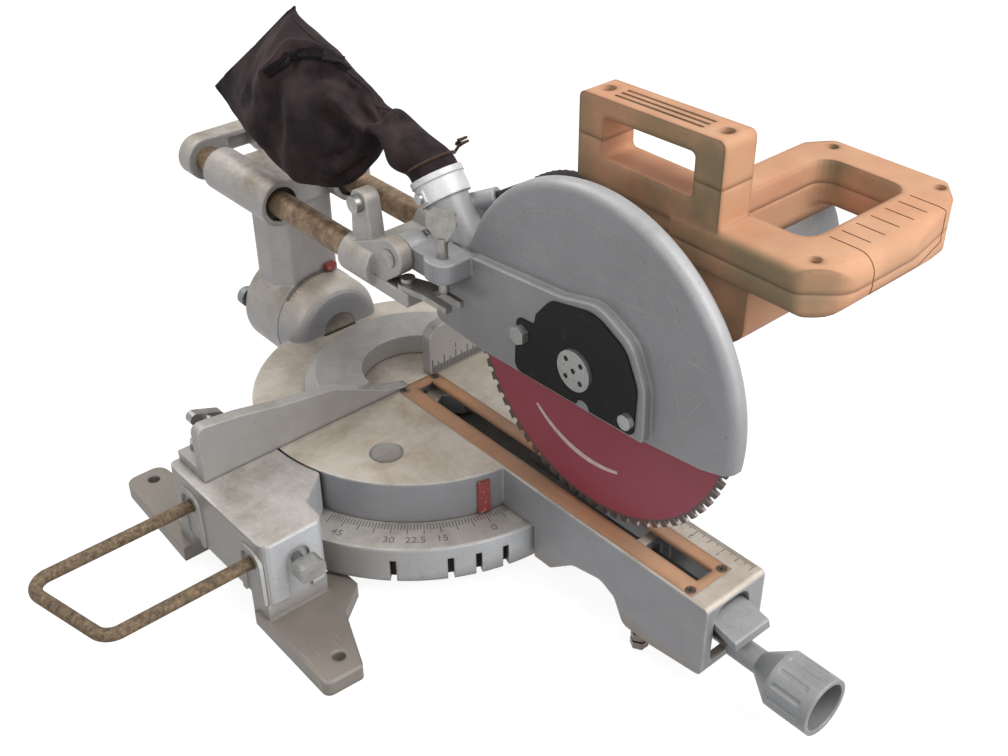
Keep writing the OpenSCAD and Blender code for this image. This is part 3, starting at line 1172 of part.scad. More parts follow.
// Gear pair with involute teeth, pressure angle 25 degrees, thinned for backlash
pressure = 25;
backlash = 0.2;
function involute(base, r) = let (t = sqrt(max(0, (r / base) * (r / base) - 1))) t * 180 / PI - atan(t);
function gear_outline(n) =
    let (pitch = gear_module * n / 2, base = pitch * cos(pressure))
    let (outer = pitch + 0.8 * gear_module, root = pitch - 1.1 * gear_module, start = max(base, root))
    let (half = 90 / n - backlash / pitch * 90 / PI + involute(base, pitch))
    let (flank = [for (k = [0:3]) let (r = start + (outer - start) * k / 3) [r, half - involute(base, r)]])
    let (side = root < base ? concat([[root, half]], flank) : flank)
    [for (i = [0:n - 1]) each concat([for (q = side) polar(q[0], 360 * i / n - q[1])],
        [for (k = [len(side) - 1:-1:0]) polar(side[k][0], 360 * i / n + side[k][1])])];
module gear(n, at, turn, bore) difference() {
    translate([gear_x[0], at[0], at[1]])
        rotate([90, 0, 90]) rotate(turn) linear_extrude(gear_w) polygon(gear_outline(n));
    rod_x(bore + seat_gap, [0, case_end], at);
}
module driven_gear() color(steel_grey) gear(gear_teeth, arbor, 90, spindle_r);
module armature_shaft() color(steel_grey) {
    rod_x(shaft_r, [gear_x[0] + gear_w - 1, end_bearing_x[1]], motor);
    translate([gear_x[0], motor[0], motor[1]]) rotate([90, 0, 90]) rotate(-90 + 180 / pinion_teeth)
        linear_extrude(gear_w) polygon(gear_outline(pinion_teeth));
}
module rotor_core() color(steel_grey) difference() {
    rod_x(rotor_r, [stack_from + 1, stack_from + stack_len - 1], motor);
    rod_x(shaft_r + seat_gap, [0, cap_end], motor);
    for (a = [0:30:330]) translate([0, motor.x, motor.y]) rotate([a, 0, 0])
        rod_x(2, [0, cap_end], [rotor_r, 0]);
}
commutator_r = 13;
module commutator() color(copper) difference() {
    rod_x(commutator_r, [can_end, can_end + 15], motor);
    rod_x(shaft_r + seat_gap, [0, cap_end], motor);
}
fan_r = motor_r - can_wall - 3;
module cooling_fan() color(black) difference() {
    union() {
        rod_x(fan_r, [case_end + 6, case_end + 9], motor);
        rod_x(shaft_r + 5, [case_end + 6, case_end + 20], motor);
        for (a = [0:30:330]) translate([0, motor.x, motor.y]) rotate([a, 0, 0])
            box([case_end + 8, case_end + 18], [shaft_r + 4, fan_r - 1], [-1, 1]);
    }
    rod_x(shaft_r + seat_gap, [0, cap_end], motor);
}

base_casting();
pivot_bolt();
fence();
fence_bolts();
extension_bar();
bar_clamp_screw();
vise_screw();
turntable();
kerf_insert();
insert_screws();
mitre_pointer();
mitre_knob();
clamp_rod();
detent_lever();
support_bolt();
bevel_pivot_bolt();
bevel_lock_lever();
rail_housing();
rail_bushes();
slide_lock_knob();
bevel_pointer();
slide_rails();
rail_end_bracket();
carriage();
hinge_pin();
hinge_spring();
carriage_screws();
stop_plate();
guard_casting();
centre_cover();
guard_hub();
guard_fasteners();
spout_collar();
dust_bag();
bag_clip();
depth_screw();
gear_case();
shaft_bearings();
spindle_lock();
motor_can();
motor_end_cap();
brush_caps();
stator();
housing_lower();
housing_upper();
carry_cap();
handle_screws();
trigger();
trigger_switch();
lead_boot();
power_lead();
blade();
spindle();
blade_flanges();
arbor_bolt();
driven_gear();
armature_shaft();
rotor_core();
commutator();
cooling_fan();
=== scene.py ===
import bpy
import bmesh
import math
from mathutils import Matrix, Vector, noise
from mathutils.bvhtree import BVHTree
from mathutils.kdtree import KDTree


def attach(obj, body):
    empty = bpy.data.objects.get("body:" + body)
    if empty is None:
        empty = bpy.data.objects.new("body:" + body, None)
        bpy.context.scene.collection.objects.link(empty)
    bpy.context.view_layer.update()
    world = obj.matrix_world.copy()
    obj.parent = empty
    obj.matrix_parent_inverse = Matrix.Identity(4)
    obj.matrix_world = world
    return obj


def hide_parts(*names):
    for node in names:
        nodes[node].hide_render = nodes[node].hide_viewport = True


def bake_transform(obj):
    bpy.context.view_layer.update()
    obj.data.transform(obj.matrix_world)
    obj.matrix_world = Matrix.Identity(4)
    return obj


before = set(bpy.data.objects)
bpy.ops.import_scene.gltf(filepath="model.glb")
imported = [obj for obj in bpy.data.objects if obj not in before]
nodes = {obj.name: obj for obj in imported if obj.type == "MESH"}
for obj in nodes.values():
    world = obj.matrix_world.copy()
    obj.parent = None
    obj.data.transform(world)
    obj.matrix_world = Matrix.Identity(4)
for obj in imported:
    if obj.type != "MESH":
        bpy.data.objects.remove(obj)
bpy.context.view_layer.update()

# Camera: a 46 mm lens on a 36 mm frame, held at the operator's left front and looking down at the saw,
# with its horizon half a degree off level.
lens_mm = 45.71
frame_mm = 36
camera_place = Vector((-0.5274, -0.7197, 0.6964))
azimuth, elevation, roll = (math.radians(a) for a in (-40.96, 34.36, -0.48))
back = Vector((math.sin(azimuth) * math.cos(elevation), -math.cos(azimuth) * math.cos(elevation),
               math.sin(elevation)))
level = Vector((math.cos(azimuth), math.sin(azimuth), 0))
upright = back.cross(level)
right = level * math.cos(roll) + upright * math.sin(roll)
up = upright * math.cos(roll) - level * math.sin(roll)
camera = bpy.data.objects.new("camera", bpy.data.cameras.new("camera"))
camera.data.lens = lens_mm
camera.data.sensor_width = frame_mm
camera.data.clip_start = 0.01
camera.matrix_world = Matrix((right, up, back)).transposed().to_4x4()
camera.location = camera_place
bpy.context.collection.objects.link(camera)
bpy.context.scene.camera = camera
bpy.context.scene.view_settings.view_transform = "Standard"


# Studio: a pale paper floor under a white sky, lit by a broad soft lamp overhead and three weaker
# ones. Floor and sky look white to the camera and in reflections, and the floor keeps the shadow.
def linear(code):
    """Linear colour of an sRGB hex value such as #c08050."""
    parts = [int(code[i:i + 2], 16) / 255 for i in (1, 3, 5)]
    return [p / 12.92 if p <= 0.04045 else ((p + 0.055) / 1.055) ** 2.4 for p in parts] + [1]


def connect(tree, node, settings=(), links=()):
    """Sets a node's properties or sockets by name, and links its sockets to outputs or to nodes' first outputs."""
    for name, value in dict(settings).items():
        if isinstance(name, str) and hasattr(node, name):
            setattr(node, name, value)
        else:
            node.inputs[name].default_value = value
    for name, source in dict(links).items():
        tree.links.new(getattr(source, "outputs", [source])[0], node.inputs[name])
    return node


def add(tree, kind, settings=(), links=()):
    """Adds a shader node with its settings and links."""
    return connect(tree, tree.nodes.new("ShaderNode" + kind), settings, links)


def surface(name):
    """A new material with its node tree, its shader and the Object coordinates."""
    material = bpy.data.materials.new(name)
    material.use_nodes = True
    tree = material.node_tree
    return material, tree, tree.nodes["Principled BSDF"], add(tree, "TexCoord").outputs["Object"]


def seen_directly(tree):
    """One for rays that come from the camera, a reflection or glass, and nought for the rest."""
    rays = add(tree, "LightPath").outputs
    mirror = add(tree, "Math", {"operation": "MAXIMUM"},
                 {0: rays["Is Glossy Ray"], 1: rays["Is Transmission Ray"]})
    return add(tree, "Math", {"operation": "MAXIMUM"}, {0: rays["Is Camera Ray"], 1: mirror})


world = bpy.data.worlds.new("studio sky")
bpy.context.scene.world = world
world.use_nodes = True
sky = world.node_tree
sky.nodes.clear()
strength = add(sky, "MapRange", {"To Min": 0.38, "To Max": 1.0}, {"Value": seen_directly(sky)})
light = add(sky, "Background", {"Color": (1, 1, 1, 1)}, {"Strength": strength})
add(sky, "OutputWorld", {}, {"Surface": light})

floor_reach = 6
form = bmesh.new()
bmesh.ops.create_grid(form, x_segments=1, y_segments=1, size=floor_reach)
floor = bpy.data.objects.new("floor", bpy.data.meshes.new("floor"))
form.to_mesh(floor.data)
form.free()
bpy.context.collection.objects.link(floor)
# matt paper, which shows no gloss and no grain from here
paper, tree, shader, _ = surface("white studio paper")
glow = add(tree, "Math", {"operation": "MULTIPLY", 1: 0.88}, {0: seen_directly(tree)})
connect(tree, shader, {"Base Color": linear("#7c7c7c"), "Roughness": 0.9, "Emission Color": (1, 1, 1, 1)},
        {"Emission Strength": glow})
floor.data.materials.append(paper)

lamp_aim = Vector((0, -0.1, 0.15))
for name, lamp_place, size, watts in (
        ("key lamp", (0.9, -2.2, 3.1), 2.6, 108), ("front lamp", (0.9, -2.7, 0.9), 2.0, 33),
        ("fill lamp", (-1.9, -0.9, 1.3), 1.8, 15), ("rear lamp", (-0.3, 2.2, 2.6), 2.0, 34)):
    lamp = bpy.data.objects.new(name, bpy.data.lights.new(name, "AREA"))
    lamp.data.size = size
    lamp.data.energy = watts
    lamp.location = lamp_place
    lamp.rotation_euler = (lamp_aim - Vector(lamp_place)).to_track_quat("-Z", "Y").to_euler()
    bpy.context.collection.objects.link(lamp)


# Base casting: the ring with the mitre scale, two hollow wings and four feet in one die-cast piece of
# aluminium, left as cast. Years of sawdust and oil have dulled it and baked on to the faces that look up.
def cast_aluminium(name, top, side, dirt, dirt_share, pale_wear_and_highlight, edge_radius=0.002, left_shade=0.0):
    """As-cast aluminium: a dull, finely grained grey, one tone on faces that look up and another on the sides as
    painted light and shade, pale on edges with wear and a painted highlight, and dark with oily dirt on faces that
    look up.
    The dirt colour also paints shade on faces that look left and in corners, and darkens the metal towards the
    bottom. The dirt has pits and straight scores in it."""
    material, tree, shader, place = surface(name)
    face = add(tree, "NewGeometry").outputs["Normal"]
    facing = add(tree, "SeparateXYZ", {}, {0: face}).outputs
    # a tone for faces that look up and another for the sides: painted light and shade, and on the table also its
    # ground top
    upward = add(tree, "MapRange", {"From Min": 0.1, "From Max": 0.9}, {"Value": facing["Z"]})
    tone = add(tree, "MixRGB", {"Color1": linear(side), "Color2": linear(top)}, {"Fac": upward})
    # clouds of 25 mm in the bare metal
    cloud = add(tree, "TexNoise", {"Scale": 1 / 0.025, "Detail": 6, "Roughness": 0.62}, {"Vector": place})
    cloud_share = add(tree, "MapRange", {"From Min": 0.3, "From Max": 0.7, "To Min": 0.94, "To Max": 1.06},
                      {"Value": cloud})
    metal = add(tree, "VectorMath", {"operation": "SCALE"}, {0: tone, "Scale": cloud_share})
    # edges pale in patches: partly wear, partly a painted highlight
    edge = add(tree, "Bevel", {"samples": 4, "Radius": edge_radius})
    turn = add(tree, "VectorMath", {"operation": "DOT_PRODUCT"}, {0: edge, 1: face}).outputs["Value"]
    worn = add(tree, "MapRange", {"From Min": 0.985, "From Max": 0.86}, {"Value": turn})
    edge_wear_and_highlight = add(tree, "Math", {"operation": "MULTIPLY"}, {0: worn, 1: cloud})
    edge_worn_and_lit = add(tree, "MixRGB", {"Color2": linear(pale_wear_and_highlight)}, {"Fac": edge_wear_and_highlight, "Color1": metal})
    # oily dirt in stains of 45 mm
    stain = add(tree, "TexNoise", {"Scale": 1 / 0.045, "Detail": 11, "Roughness": 0.72, "Distortion": 0.3},
                {"Vector": place})
    stain_share = add(tree, "MapRange", {"From Min": 0.42, "From Max": 0.72, "To Max": dirt_share},
                      {"Value": stain})
    settled = add(tree, "MapRange", {"To Min": 0.2, "To Max": 1.0}, {"Value": upward})
    on_top = add(tree, "Math", {"operation": "MULTIPLY"}, {0: stain_share, 1: settled})
    # darker towards the bottom, under 32 mm, in the dirt colour
    height = add(tree, "SeparateXYZ", {}, {0: place}).outputs["Z"]
    low_down = add(tree, "MapRange", {"From Min": 0.032, "From Max": 0.01, "To Max": 0.9}, {"Value": height})
    # painted shade on faces that look left, in the dirt colour
    leftward = add(tree, "MapRange", {"From Min": -0.3, "From Max": -0.95, "To Max": left_shade},
                   {"Value": facing["X"]})
    hidden = add(tree, "Math", {"operation": "MAXIMUM"}, {0: leftward, 1: low_down})
    # one mask for the dirt on top, the painted shade on left faces and the darkening towards the bottom
    dirty = add(tree, "Math", {"operation": "MAXIMUM"}, {0: on_top, 1: hidden})
    coloured = add(tree, "MixRGB", {"Color2": linear(dirt)}, {"Fac": dirty, "Color1": edge_worn_and_lit})
    # scores 0.7 mm wide and 30 mm long
    scored = add(tree, "Mapping", {"Rotation": (0.3, 0.2, 0.5), "Scale": (1 / 0.0007, 1 / 0.03, 1 / 0.0007)},
                 {"Vector": place})
    scores = add(tree, "TexNoise", {"Scale": 1.0, "Detail": 3}, {"Vector": scored})
    score_share = add(tree, "MapRange", {"From Min": 0.64, "From Max": 0.76, "To Max": 0.28}, {"Value": scores})
    scratched = add(tree, "MixRGB", {"Color2": linear(pale_wear_and_highlight)}, {"Fac": score_share, "Color1": coloured})
    # pits 3.4 mm apart, and painted shade in corners up to 9 mm deep
    pits = add(tree, "TexNoise", {"Scale": 1 / 0.0034, "Detail": 5, "Roughness": 0.8}, {"Vector": place})
    pit_share = add(tree, "MapRange", {"From Min": 0.58, "From Max": 0.72, "To Max": 0.5}, {"Value": pits})
    pitted = add(tree, "MixRGB", {"Color2": linear("#5a534a")}, {"Fac": pit_share, "Color1": scratched})
    shelter = add(tree, "AmbientOcclusion", {"samples": 6, "Distance": 0.009}).outputs["AO"]
    corner = add(tree, "MapRange", {"From Min": 0.62, "From Max": 0.25, "To Max": 0.8}, {"Value": shelter})
    corner_shaded = add(tree, "MixRGB", {"Color2": linear("#453d34")}, {"Fac": corner, "Color1": pitted})
    # the skin's grain of 0.8 mm
    grain = add(tree, "TexNoise", {"Scale": 1 / 0.0008, "Detail": 2}, {"Vector": place})
    bump = add(tree, "Bump", {"Strength": 0.18, "Distance": 0.0005}, {"Height": grain, "Normal": edge})
    rough = add(tree, "MapRange", {"To Min": 0.34, "To Max": 0.58}, {"Value": stain})
    connect(tree, shader, {"Metallic": 0.28}, {"Base Color": corner_shaded, "Roughness": rough, "Normal": bump})
    return material


def finish_with(material, *names):
    """Gives CAD nodes a material."""
    for name in names:
        mesh = nodes[name].data
        mesh.materials.clear()
        mesh.materials.append(material)


# the last figure darkens the faces that look left: painted shade
base_metal = cast_aluminium("die-cast aluminium, dulled and stained", "#b5b0aa", "#bcbec1", "#72685d", 0.7,
                            "#f0f0ee", 0.004, 0.75)
finish_with(base_metal, "base_casting")


# Mitre scale: a line for each degree and figures at the stops, stamped into the ring's flat top and filled
# with black paint. Its nought is where the red pointer stands, left of the arm.
def coat(name, size, detail, main, other, roughness, gloss=0.5, turnover=(0, 1), most=1, rag=0.5):
    """A thin coat or film that goes from one tone to another in clouds of the given size, in metres."""
    material, tree, shader, place = surface(name)
    cloud = add(tree, "TexNoise", {"Scale": 1 / size, "Detail": detail, "Roughness": rag}, {"Vector": place})
    share = add(tree, "MapRange", {"From Min": turnover[0], "From Max": turnover[1], "To Max": most},
                {"Value": cloud})
    tone = add(tree, "MixRGB", {"Color1": linear(main), "Color2": linear(other)}, {"Fac": share})
    connect(tree, shader, {"Roughness": roughness, "Specular IOR Level": gloss}, {"Base Color": tone})
    return material


def put_mark(form, size, placing):
    """One stamped line: a thin block of the given size."""
    bmesh.ops.create_cube(form, size=1, matrix=placing @ Matrix.Diagonal((*size, 1)))


def put_words(form, words, size, placing):
    """Figures of the given height, as a mesh in the same form."""
    lettering = bpy.data.curves.new("figures", "FONT")
    lettering.body = words
    lettering.size = size
    lettering.align_x = "CENTER"
    lettering.align_y = "CENTER"
    lettering.extrude = 0.00004
    shown = bpy.data.objects.new("figures", lettering)
    bpy.context.collection.objects.link(shown)
    bpy.context.view_layer.update()
    mesh = bpy.data.meshes.new_from_object(shown.evaluated_get(bpy.context.evaluated_depsgraph_get()))
    bpy.data.objects.remove(shown)
    mesh.transform(placing)
    form.from_mesh(mesh)
    bpy.data.meshes.remove(mesh)


def round_table(degrees, *place):
    """Placing at a point in front of the mitre pivot that is turned round the pivot."""
    return Matrix.Rotation(math.radians(degrees), 4, "Z") @ Matrix.Translation(place)


def make_piece(name, form, material, body):
    """A mesh object of a form, with its material, that rides on a body if one is named."""
    mesh = bpy.data.meshes.new(name)
    form.to_mesh(mesh)
    form.free()
    mesh.materials.append(material)
    made = bpy.data.objects.new(name, mesh)
    bpy.context.collection.objects.link(made)
    if body:
        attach(made, body)
    return made


ring_top = 0.0477
ring_lines_r, ring_figures_r = 0.1395, 0.1575
pointer_turn = -16.5
# flat paint left in the lines, grey where it has worn thin
scale_paint = coat("black scale paint, worn thin", 0.006, 4, "#3d3c3b", "#85817b", 0.75)
form = bmesh.new()
for degree in range(-50, 51):
    length = 0.011 if degree % 5 == 0 else 0.006
    put_mark(form, (0.0007, length, 0.0002),
             round_table(pointer_turn + degree, 0, -ring_lines_r - length / 2, ring_top + 0.00005))
for figure in ("0", "15", "22.5", "30", "45"):
    for side in (1,) if figure == "0" else (-1, 1):
        put_words(form, figure, 0.0095,
                  round_table(pointer_turn + side * float(figure), 0, -ring_figures_r, ring_top + 0.0001))
make_piece("mitre_scale", form, scale_paint, "base")


# Notch plates: small near-black plates behind the ring's notches, inside its skirt. They are painted shade: they
# close the notches from behind, so these look dark from outside, as the shaded inside of the ring would.
def ease_edges(form, offset):
    """Rounds every edge of a form a little."""
    bmesh.ops.bevel(form, geom=form.edges[:], offset=offset, offset_type="OFFSET", affect="EDGES", segments=2,
                    profile=0.5, material=-1)


# painted shade: nearly black, with hardly any gloss, a little lighter in clouds of 5 mm
notch_shade_black = coat("near-black plates, painted shade in the notches", 0.005, 4, "#141312", "#2c2824", 0.6, 0.2)
plate_size, plate_r, plate_z = (0.011, 0.0018, 0.023), 0.1618, 0.0283
form = bmesh.new()
for degree in (-45, -30, -22.5, -15, 0, 15, 22.5, 30, 45):
    put_mark(form, plate_size, round_table(degree, 0, -plate_r, plate_z))
ease_edges(form, 0.0004)
make_piece("notch_shade_plates", form, notch_shade_black, "base")

# Fence: two upright plates joined by a low bow, cast in one piece and bolted down. Their faces are ground,
# and the right one has a rule in sixteenths of an inch along its foot.
table_top = 0.085
inch, sixteenth = 0.0254, 0.0015875
fence_metal = cast_aluminium("cast aluminium, ground face, greyed", "#a6a4a1", "#999795", "#7d7468", 0.6, "#cfcfcc")
finish_with(fence_metal, "fence")
fence_rule_x = 0.0175
form = bmesh.new()
for i in range(112):
    height = 0.013 if i % 8 == 0 else 0.009 if i % 4 == 0 else 0.006
    put_mark(form, (0.0008, 0.0002, height),
             Matrix.Translation((fence_rule_x + sixteenth * i, -0.00005, table_top + 0.0015 + height / 2)))
for n in range(1, 7):
    placing = Matrix.Translation((fence_rule_x + inch * n, -0.0001, table_top + 0.0185))
    put_words(form, str(n), 0.007, placing @ Matrix.Rotation(math.pi / 2, 4, "X"))
# the same paint where no work rubs it: darker and whole
rule_paint = coat("black scale paint, sheltered", 0.006, 4, "#211f1e", "#4a4744", 0.75)
make_piece("fence_rule", form, rule_paint, "base")


# Bolts of the base, turned and formed from mild steel and zinc plated: the pivot under the table, the fence
# bolts and the T screw for a vise post.
def plated_steel(name, clean, tarnish, roughness):
    """Zinc plating: a soft metal shine, with tarnish in clouds of 8 mm and dark specks of 1.5 mm."""
    material, tree, shader, place = surface(name)
    cloud = add(tree, "TexNoise", {"Scale": 1 / 0.008, "Detail": 5}, {"Vector": place})
    spots = add(tree, "TexNoise", {"Scale": 1 / 0.0015, "Detail": 2}, {"Vector": place})
    spot_share = add(tree, "MapRange", {"From Min": 0.6, "From Max": 0.75, "To Max": 0.6}, {"Value": spots})
    metal = add(tree, "MixRGB", {"Color1": linear(clean), "Color2": linear(tarnish)}, {"Fac": cloud})
    spotted = add(tree, "MixRGB", {"Color2": linear("#57483a")}, {"Fac": spot_share, "Color1": metal})
    rough = add(tree, "MapRange", {"To Min": roughness - 0.08, "To Max": roughness + 0.15}, {"Value": cloud})
    bump = add(tree, "Bump", {"Strength": 0.12, "Distance": 0.0003}, {"Height": spots})
    connect(tree, shader, {"Metallic": 0.9}, {"Base Color": spotted, "Roughness": rough, "Normal": bump})
    return material


zinc = plated_steel("zinc plated steel, dulled", "#a9a8a5", "#7c7770", 0.36)
finish_with(zinc, "pivot_bolt", "fence_bolts", "vise_screw")


# Extension bar: one rod of mild steel bent to a long U, which slides in two bores of the wing. It was plated
# once, and is now rough with brown rust.
def rusted_steel(name, patch, rag, tones, roughness, metallic, flake=None):
    """Rust in patches: tones from dark pits to pale dust, little shine, and a rough skin if flakes have a size."""
    material, tree, shader, place = surface(name)
    rust = add(tree, "TexNoise", {"Scale": 1 / patch, "Detail": 8, "Roughness": rag}, {"Vector": place})
    ramp = add(tree, "ValToRGB", {}, {"Fac": rust})
    stops = ramp.color_ramp.elements
    for at, code in tones:
        stops.new(at).color = linear(code)
    for end in (0, -1):
        stops.remove(stops[end])
    connect(tree, shader, {"Roughness": roughness, "Metallic": metallic}, {"Base Color": ramp})
    if flake:
        flakes = add(tree, "TexNoise", {"Scale": 1 / flake, "Detail": 5, "Roughness": 0.7}, {"Vector": place})
        bump = add(tree, "Bump", {"Strength": 0.5, "Distance": 0.0008}, {"Height": flakes})
        connect(tree, shader, {}, {"Normal": bump})
    return material


rod_tones = ((0.3, "#33291f"), (0.44, "#5a4a3b"), (0.56, "#78664f"), (0.7, "#96836a"))
rod_steel = rusted_steel("mild steel rod, rusted", 0.004, 0.75, rod_tones, 0.78, 0.15, flake=0.0018)
finish_with(rod_steel, "extension_bar")

# Clamp screw of the bar: a wing head cast in zinc on a steel screw, which presses on the bar in the wing's
# front wall. The bare casting is grey and dull.
finish_with(plated_steel("cast zinc, dull grey", "#a6a5a3", "#83807b", 0.5), "bar_clamp_screw")

# Turntable: a ribbed aluminium casting with the front arm and the bevel drum. Its top is ground, scored by
# work sliding over it, and stained where hands and sawdust leave it. A rule is stamped along the arm.
table_metal = cast_aluminium("cast aluminium, ground top, stained tan", "#c3baae", "#8b8c90", "#927f66", 0.8,
                             "#e6e4de", 0.003)
finish_with(table_metal, "turntable")
arm_rule_x, arm_rule_y, arm_figures_x = 0.0375, -0.335, 0.0265
form = bmesh.new()
for i in range(64):
    length = 0.008 if i % 8 == 0 else 0.0055 if i % 4 == 0 else 0.0035
    put_mark(form, (length, 0.0006, 0.0002),
             Matrix.Translation((arm_rule_x - length / 2, arm_rule_y + sixteenth * i, table_top + 0.00005)))
for n in range(1, 4):
    placing = Matrix.Translation((arm_figures_x, arm_rule_y + inch * n, table_top + 0.0001))
    put_words(form, str(n), 0.006, placing @ Matrix.Rotation(math.pi / 2, 4, "Z"))
make_piece("arm_rule", form, scale_paint, "table")

# Round boss cast on the table's top: a plain bare disc with a raised rim, where a badge would be. It is low
# enough to pass under the fence when the table turns.
boss_place, boss_r, boss_rise = (-0.0775, -0.0605, table_top), 0.0135, 0.0003
form = bmesh.new()
bmesh.ops.create_circle(form, cap_ends=True, segments=64, radius=boss_r, matrix=Matrix.Translation(boss_place))
rim = bmesh.ops.extrude_face_region(form, geom=form.faces[:])
bmesh.ops.translate(form, verts=[v for v in rim["geom"] if isinstance(v, bmesh.types.BMVert)],
                    vec=(0, 0, boss_rise))
lid = [f for f in form.faces if f.normal.z > 0.9 and f.calc_center_median().z > table_top + 0.0002]
bmesh.ops.inset_region(form, faces=lid, thickness=0.0016, depth=0)
bmesh.ops.translate(form, verts=lid[0].verts[:], vec=(0, 0, -0.0002))
bmesh.ops.recalc_face_normals(form, faces=form.faces)
boss_metal = cast_aluminium("cast aluminium, dark with handling", "#99958f", "#8d8a86", "#6d6458", 0.8, "#c6c4bf")
make_piece("table_boss", form, boss_metal, "table")


# Slot insert: a long strip of orange ABS on both sides of the slot, cut ragged by the blade and browned by
# dirt, held by four recessed screws. Dirt has filled the screws' crossed slots.
def moulded_plastic(name, fresh, faded, grime, grime_share, grime_and_shade_side):
    """Moulded ABS: soft edges and a faint sheen, fade in patches of 45 mm, grime in smears of 70 mm that is heavier
    on faces turned to one side, and dark specks of 4 mm. Where that side is turned from the lamps, the heavier grime
    is painted shade as well.
    The mould's spark grain of 1.2 mm breaks the gloss."""
    material, tree, shader, place = surface(name)
    patch = add(tree, "TexNoise", {"Scale": 1 / 0.045, "Detail": 4}, {"Vector": place})
    patch_share = add(tree, "MapRange", {"From Min": 0.36, "From Max": 0.64}, {"Value": patch})
    tone = add(tree, "MixRGB", {"Color1": linear(fresh), "Color2": linear(faded)}, {"Fac": patch_share})
    smear = add(tree, "TexNoise", {"Scale": 1 / 0.07, "Detail": 7, "Roughness": 0.55}, {"Vector": place})
    smear_share = add(tree, "MapRange",
                      {"From Min": 0.34, "From Max": 0.6, "To Min": 0.1, "To Max": grime_share}, {"Value": smear})
    face = add(tree, "NewGeometry").outputs["Normal"]
    lean = add(tree, "VectorMath", {"operation": "DOT_PRODUCT", 1: grime_and_shade_side}, {0: face}).outputs["Value"]
    lean_share = add(tree, "MapRange", {"From Min": 0.1, "From Max": 0.9, "To Min": 0.26, "To Max": 1.05},
                     {"Value": lean})
    # grime, heavier on the leaning side; on faces turned from the lamps that is painted shade too
    dirty = add(tree, "Math", {"operation": "MULTIPLY", "use_clamp": True}, {0: smear_share, 1: lean_share})
    grimed_and_shaded = add(tree, "MixRGB", {"Color2": linear(grime)}, {"Fac": dirty, "Color1": tone})
    specks = add(tree, "TexNoise", {"Scale": 1 / 0.004, "Detail": 3}, {"Vector": place})
    speck_share = add(tree, "MapRange", {"From Min": 0.7, "From Max": 0.76, "To Max": 0.4}, {"Value": specks})
    specked = add(tree, "MixRGB", {"Color2": linear("#5d4534")}, {"Fac": speck_share, "Color1": grimed_and_shaded})
    edge = add(tree, "Bevel", {"samples": 6, "Radius": 0.007})
    spark = add(tree, "TexNoise", {"Scale": 1 / 0.0012, "Detail": 2}, {"Vector": place})
    bump = add(tree, "Bump", {"Strength": 0.1, "Distance": 0.0004}, {"Height": spark, "Normal": edge})
    rough = add(tree, "MapRange", {"To Min": 0.5, "To Max": 0.75}, {"Value": smear})
    connect(tree, shader, {"Specular IOR Level": 0.3},
            {"Base Color": specked, "Roughness": rough, "Normal": bump})
    return material


insert_plastic = moulded_plastic("orange ABS, cut and browned", "#c08a66", "#b98f70", "#86705d", 0.6, (0, 0, 1))
finish_with(insert_plastic, "kerf_insert")
# plating gone to brown rust: dark, with a weak shine
screw_steel = plated_steel("steel screw, rusty", "#86807a", "#5f4f42", 0.45)
finish_with(screw_steel, "insert_screws")
# packed dust and oil: dark and flat
slot_dirt = coat("screw slot, filled with dirt", 0.0008, 2, "#17130f", "#33291f", 0.9)
slot_reach, slot_turn = 0.0024, 0.4
form = bmesh.new()
for x in (-0.015, 0.017):
    for y in (-0.321, -0.003):
        for turn in (slot_turn, slot_turn + math.pi / 2):
            put_mark(form, (2 * slot_reach, slot_reach * 0.4, 0.0002),
                     Matrix.Translation((x, y, table_top - 0.00015)) @ Matrix.Rotation(turn, 4, "Z"))
make_piece("insert_screw_slots", form, slot_dirt, "table")

# Pointers: bent tongues of tin painted red, one screwed to the table's rim over the mitre scale and one to
# the tilting arm over the bevel scale.
# brushed enamel with a weak gloss; chips of 3 mm show the grey tin
pointer_paint = coat("red enamel on tin, chipped", 0.003, 5, "#8a3a36", "#8f8883", 0.45, turnover=(0.6, 0.66))
finish_with(pointer_paint, "mitre_pointer", "bevel_pointer")

# Mitre lock: a hollow cast cup knob on a threaded rod, a cast detent lever over it, and the levelling bolt
# under the arm's end. The bevel pivot and its lock lever are behind the table.
knob_metal = cast_aluminium("die-cast aluminium, handled", "#949596", "#808284", "#6a635c", 0.5, "#c9c9c8")
finish_with(knob_metal, "mitre_knob", "detent_lever", "bevel_lock_lever")
finish_with(zinc, "clamp_rod", "bevel_pivot_bolt")
finish_with(screw_steel, "support_bolt")

# Bevel scale: lines every degree round the drum behind the table, stamped into the casting and filled with
# the same paint as the mitre scale.
drum_r, drum_edge_y = 0.04532, 0.1425
form = bmesh.new()
for degree in range(-48, 13):
    length = 0.007 if degree % 5 == 0 else 0.004
    placing = Matrix.Translation((0, 0, table_top)) @ Matrix.Rotation(math.radians(degree), 4, "Y")
    put_mark(form, (0.0006, length, 0.0002), placing @ Matrix.Translation((0, drum_edge_y - length / 2, drum_r)))
make_piece("bevel_scale", form, scale_paint, "table")

# Tilting arm: the cast post with its two barrels. The rails run in moulded bushes, and a ribbed knob on the
# right barrel locks the slide.
arm_metal = cast_aluminium("cast aluminium, oily, stained tan", "#b4aea6", "#a3a09f", "#6f5b42", 0.95, "#e2e0dc",
                           0.003)
finish_with(arm_metal, "rail_housing")
# moulded nylon: black and half matt, with pale sawdust in clouds of 12 mm
black_nylon = coat("black nylon, moulded, dusty", 0.012, 6, "#1d1d1f", "#5a5148", 0.6, turnover=(0.45, 0.8), most=0.5)
finish_with(black_nylon, "rail_bushes", "slide_lock_knob", "spindle_lock", "brush_caps", "trigger", "trigger_switch",
            "cooling_fan")

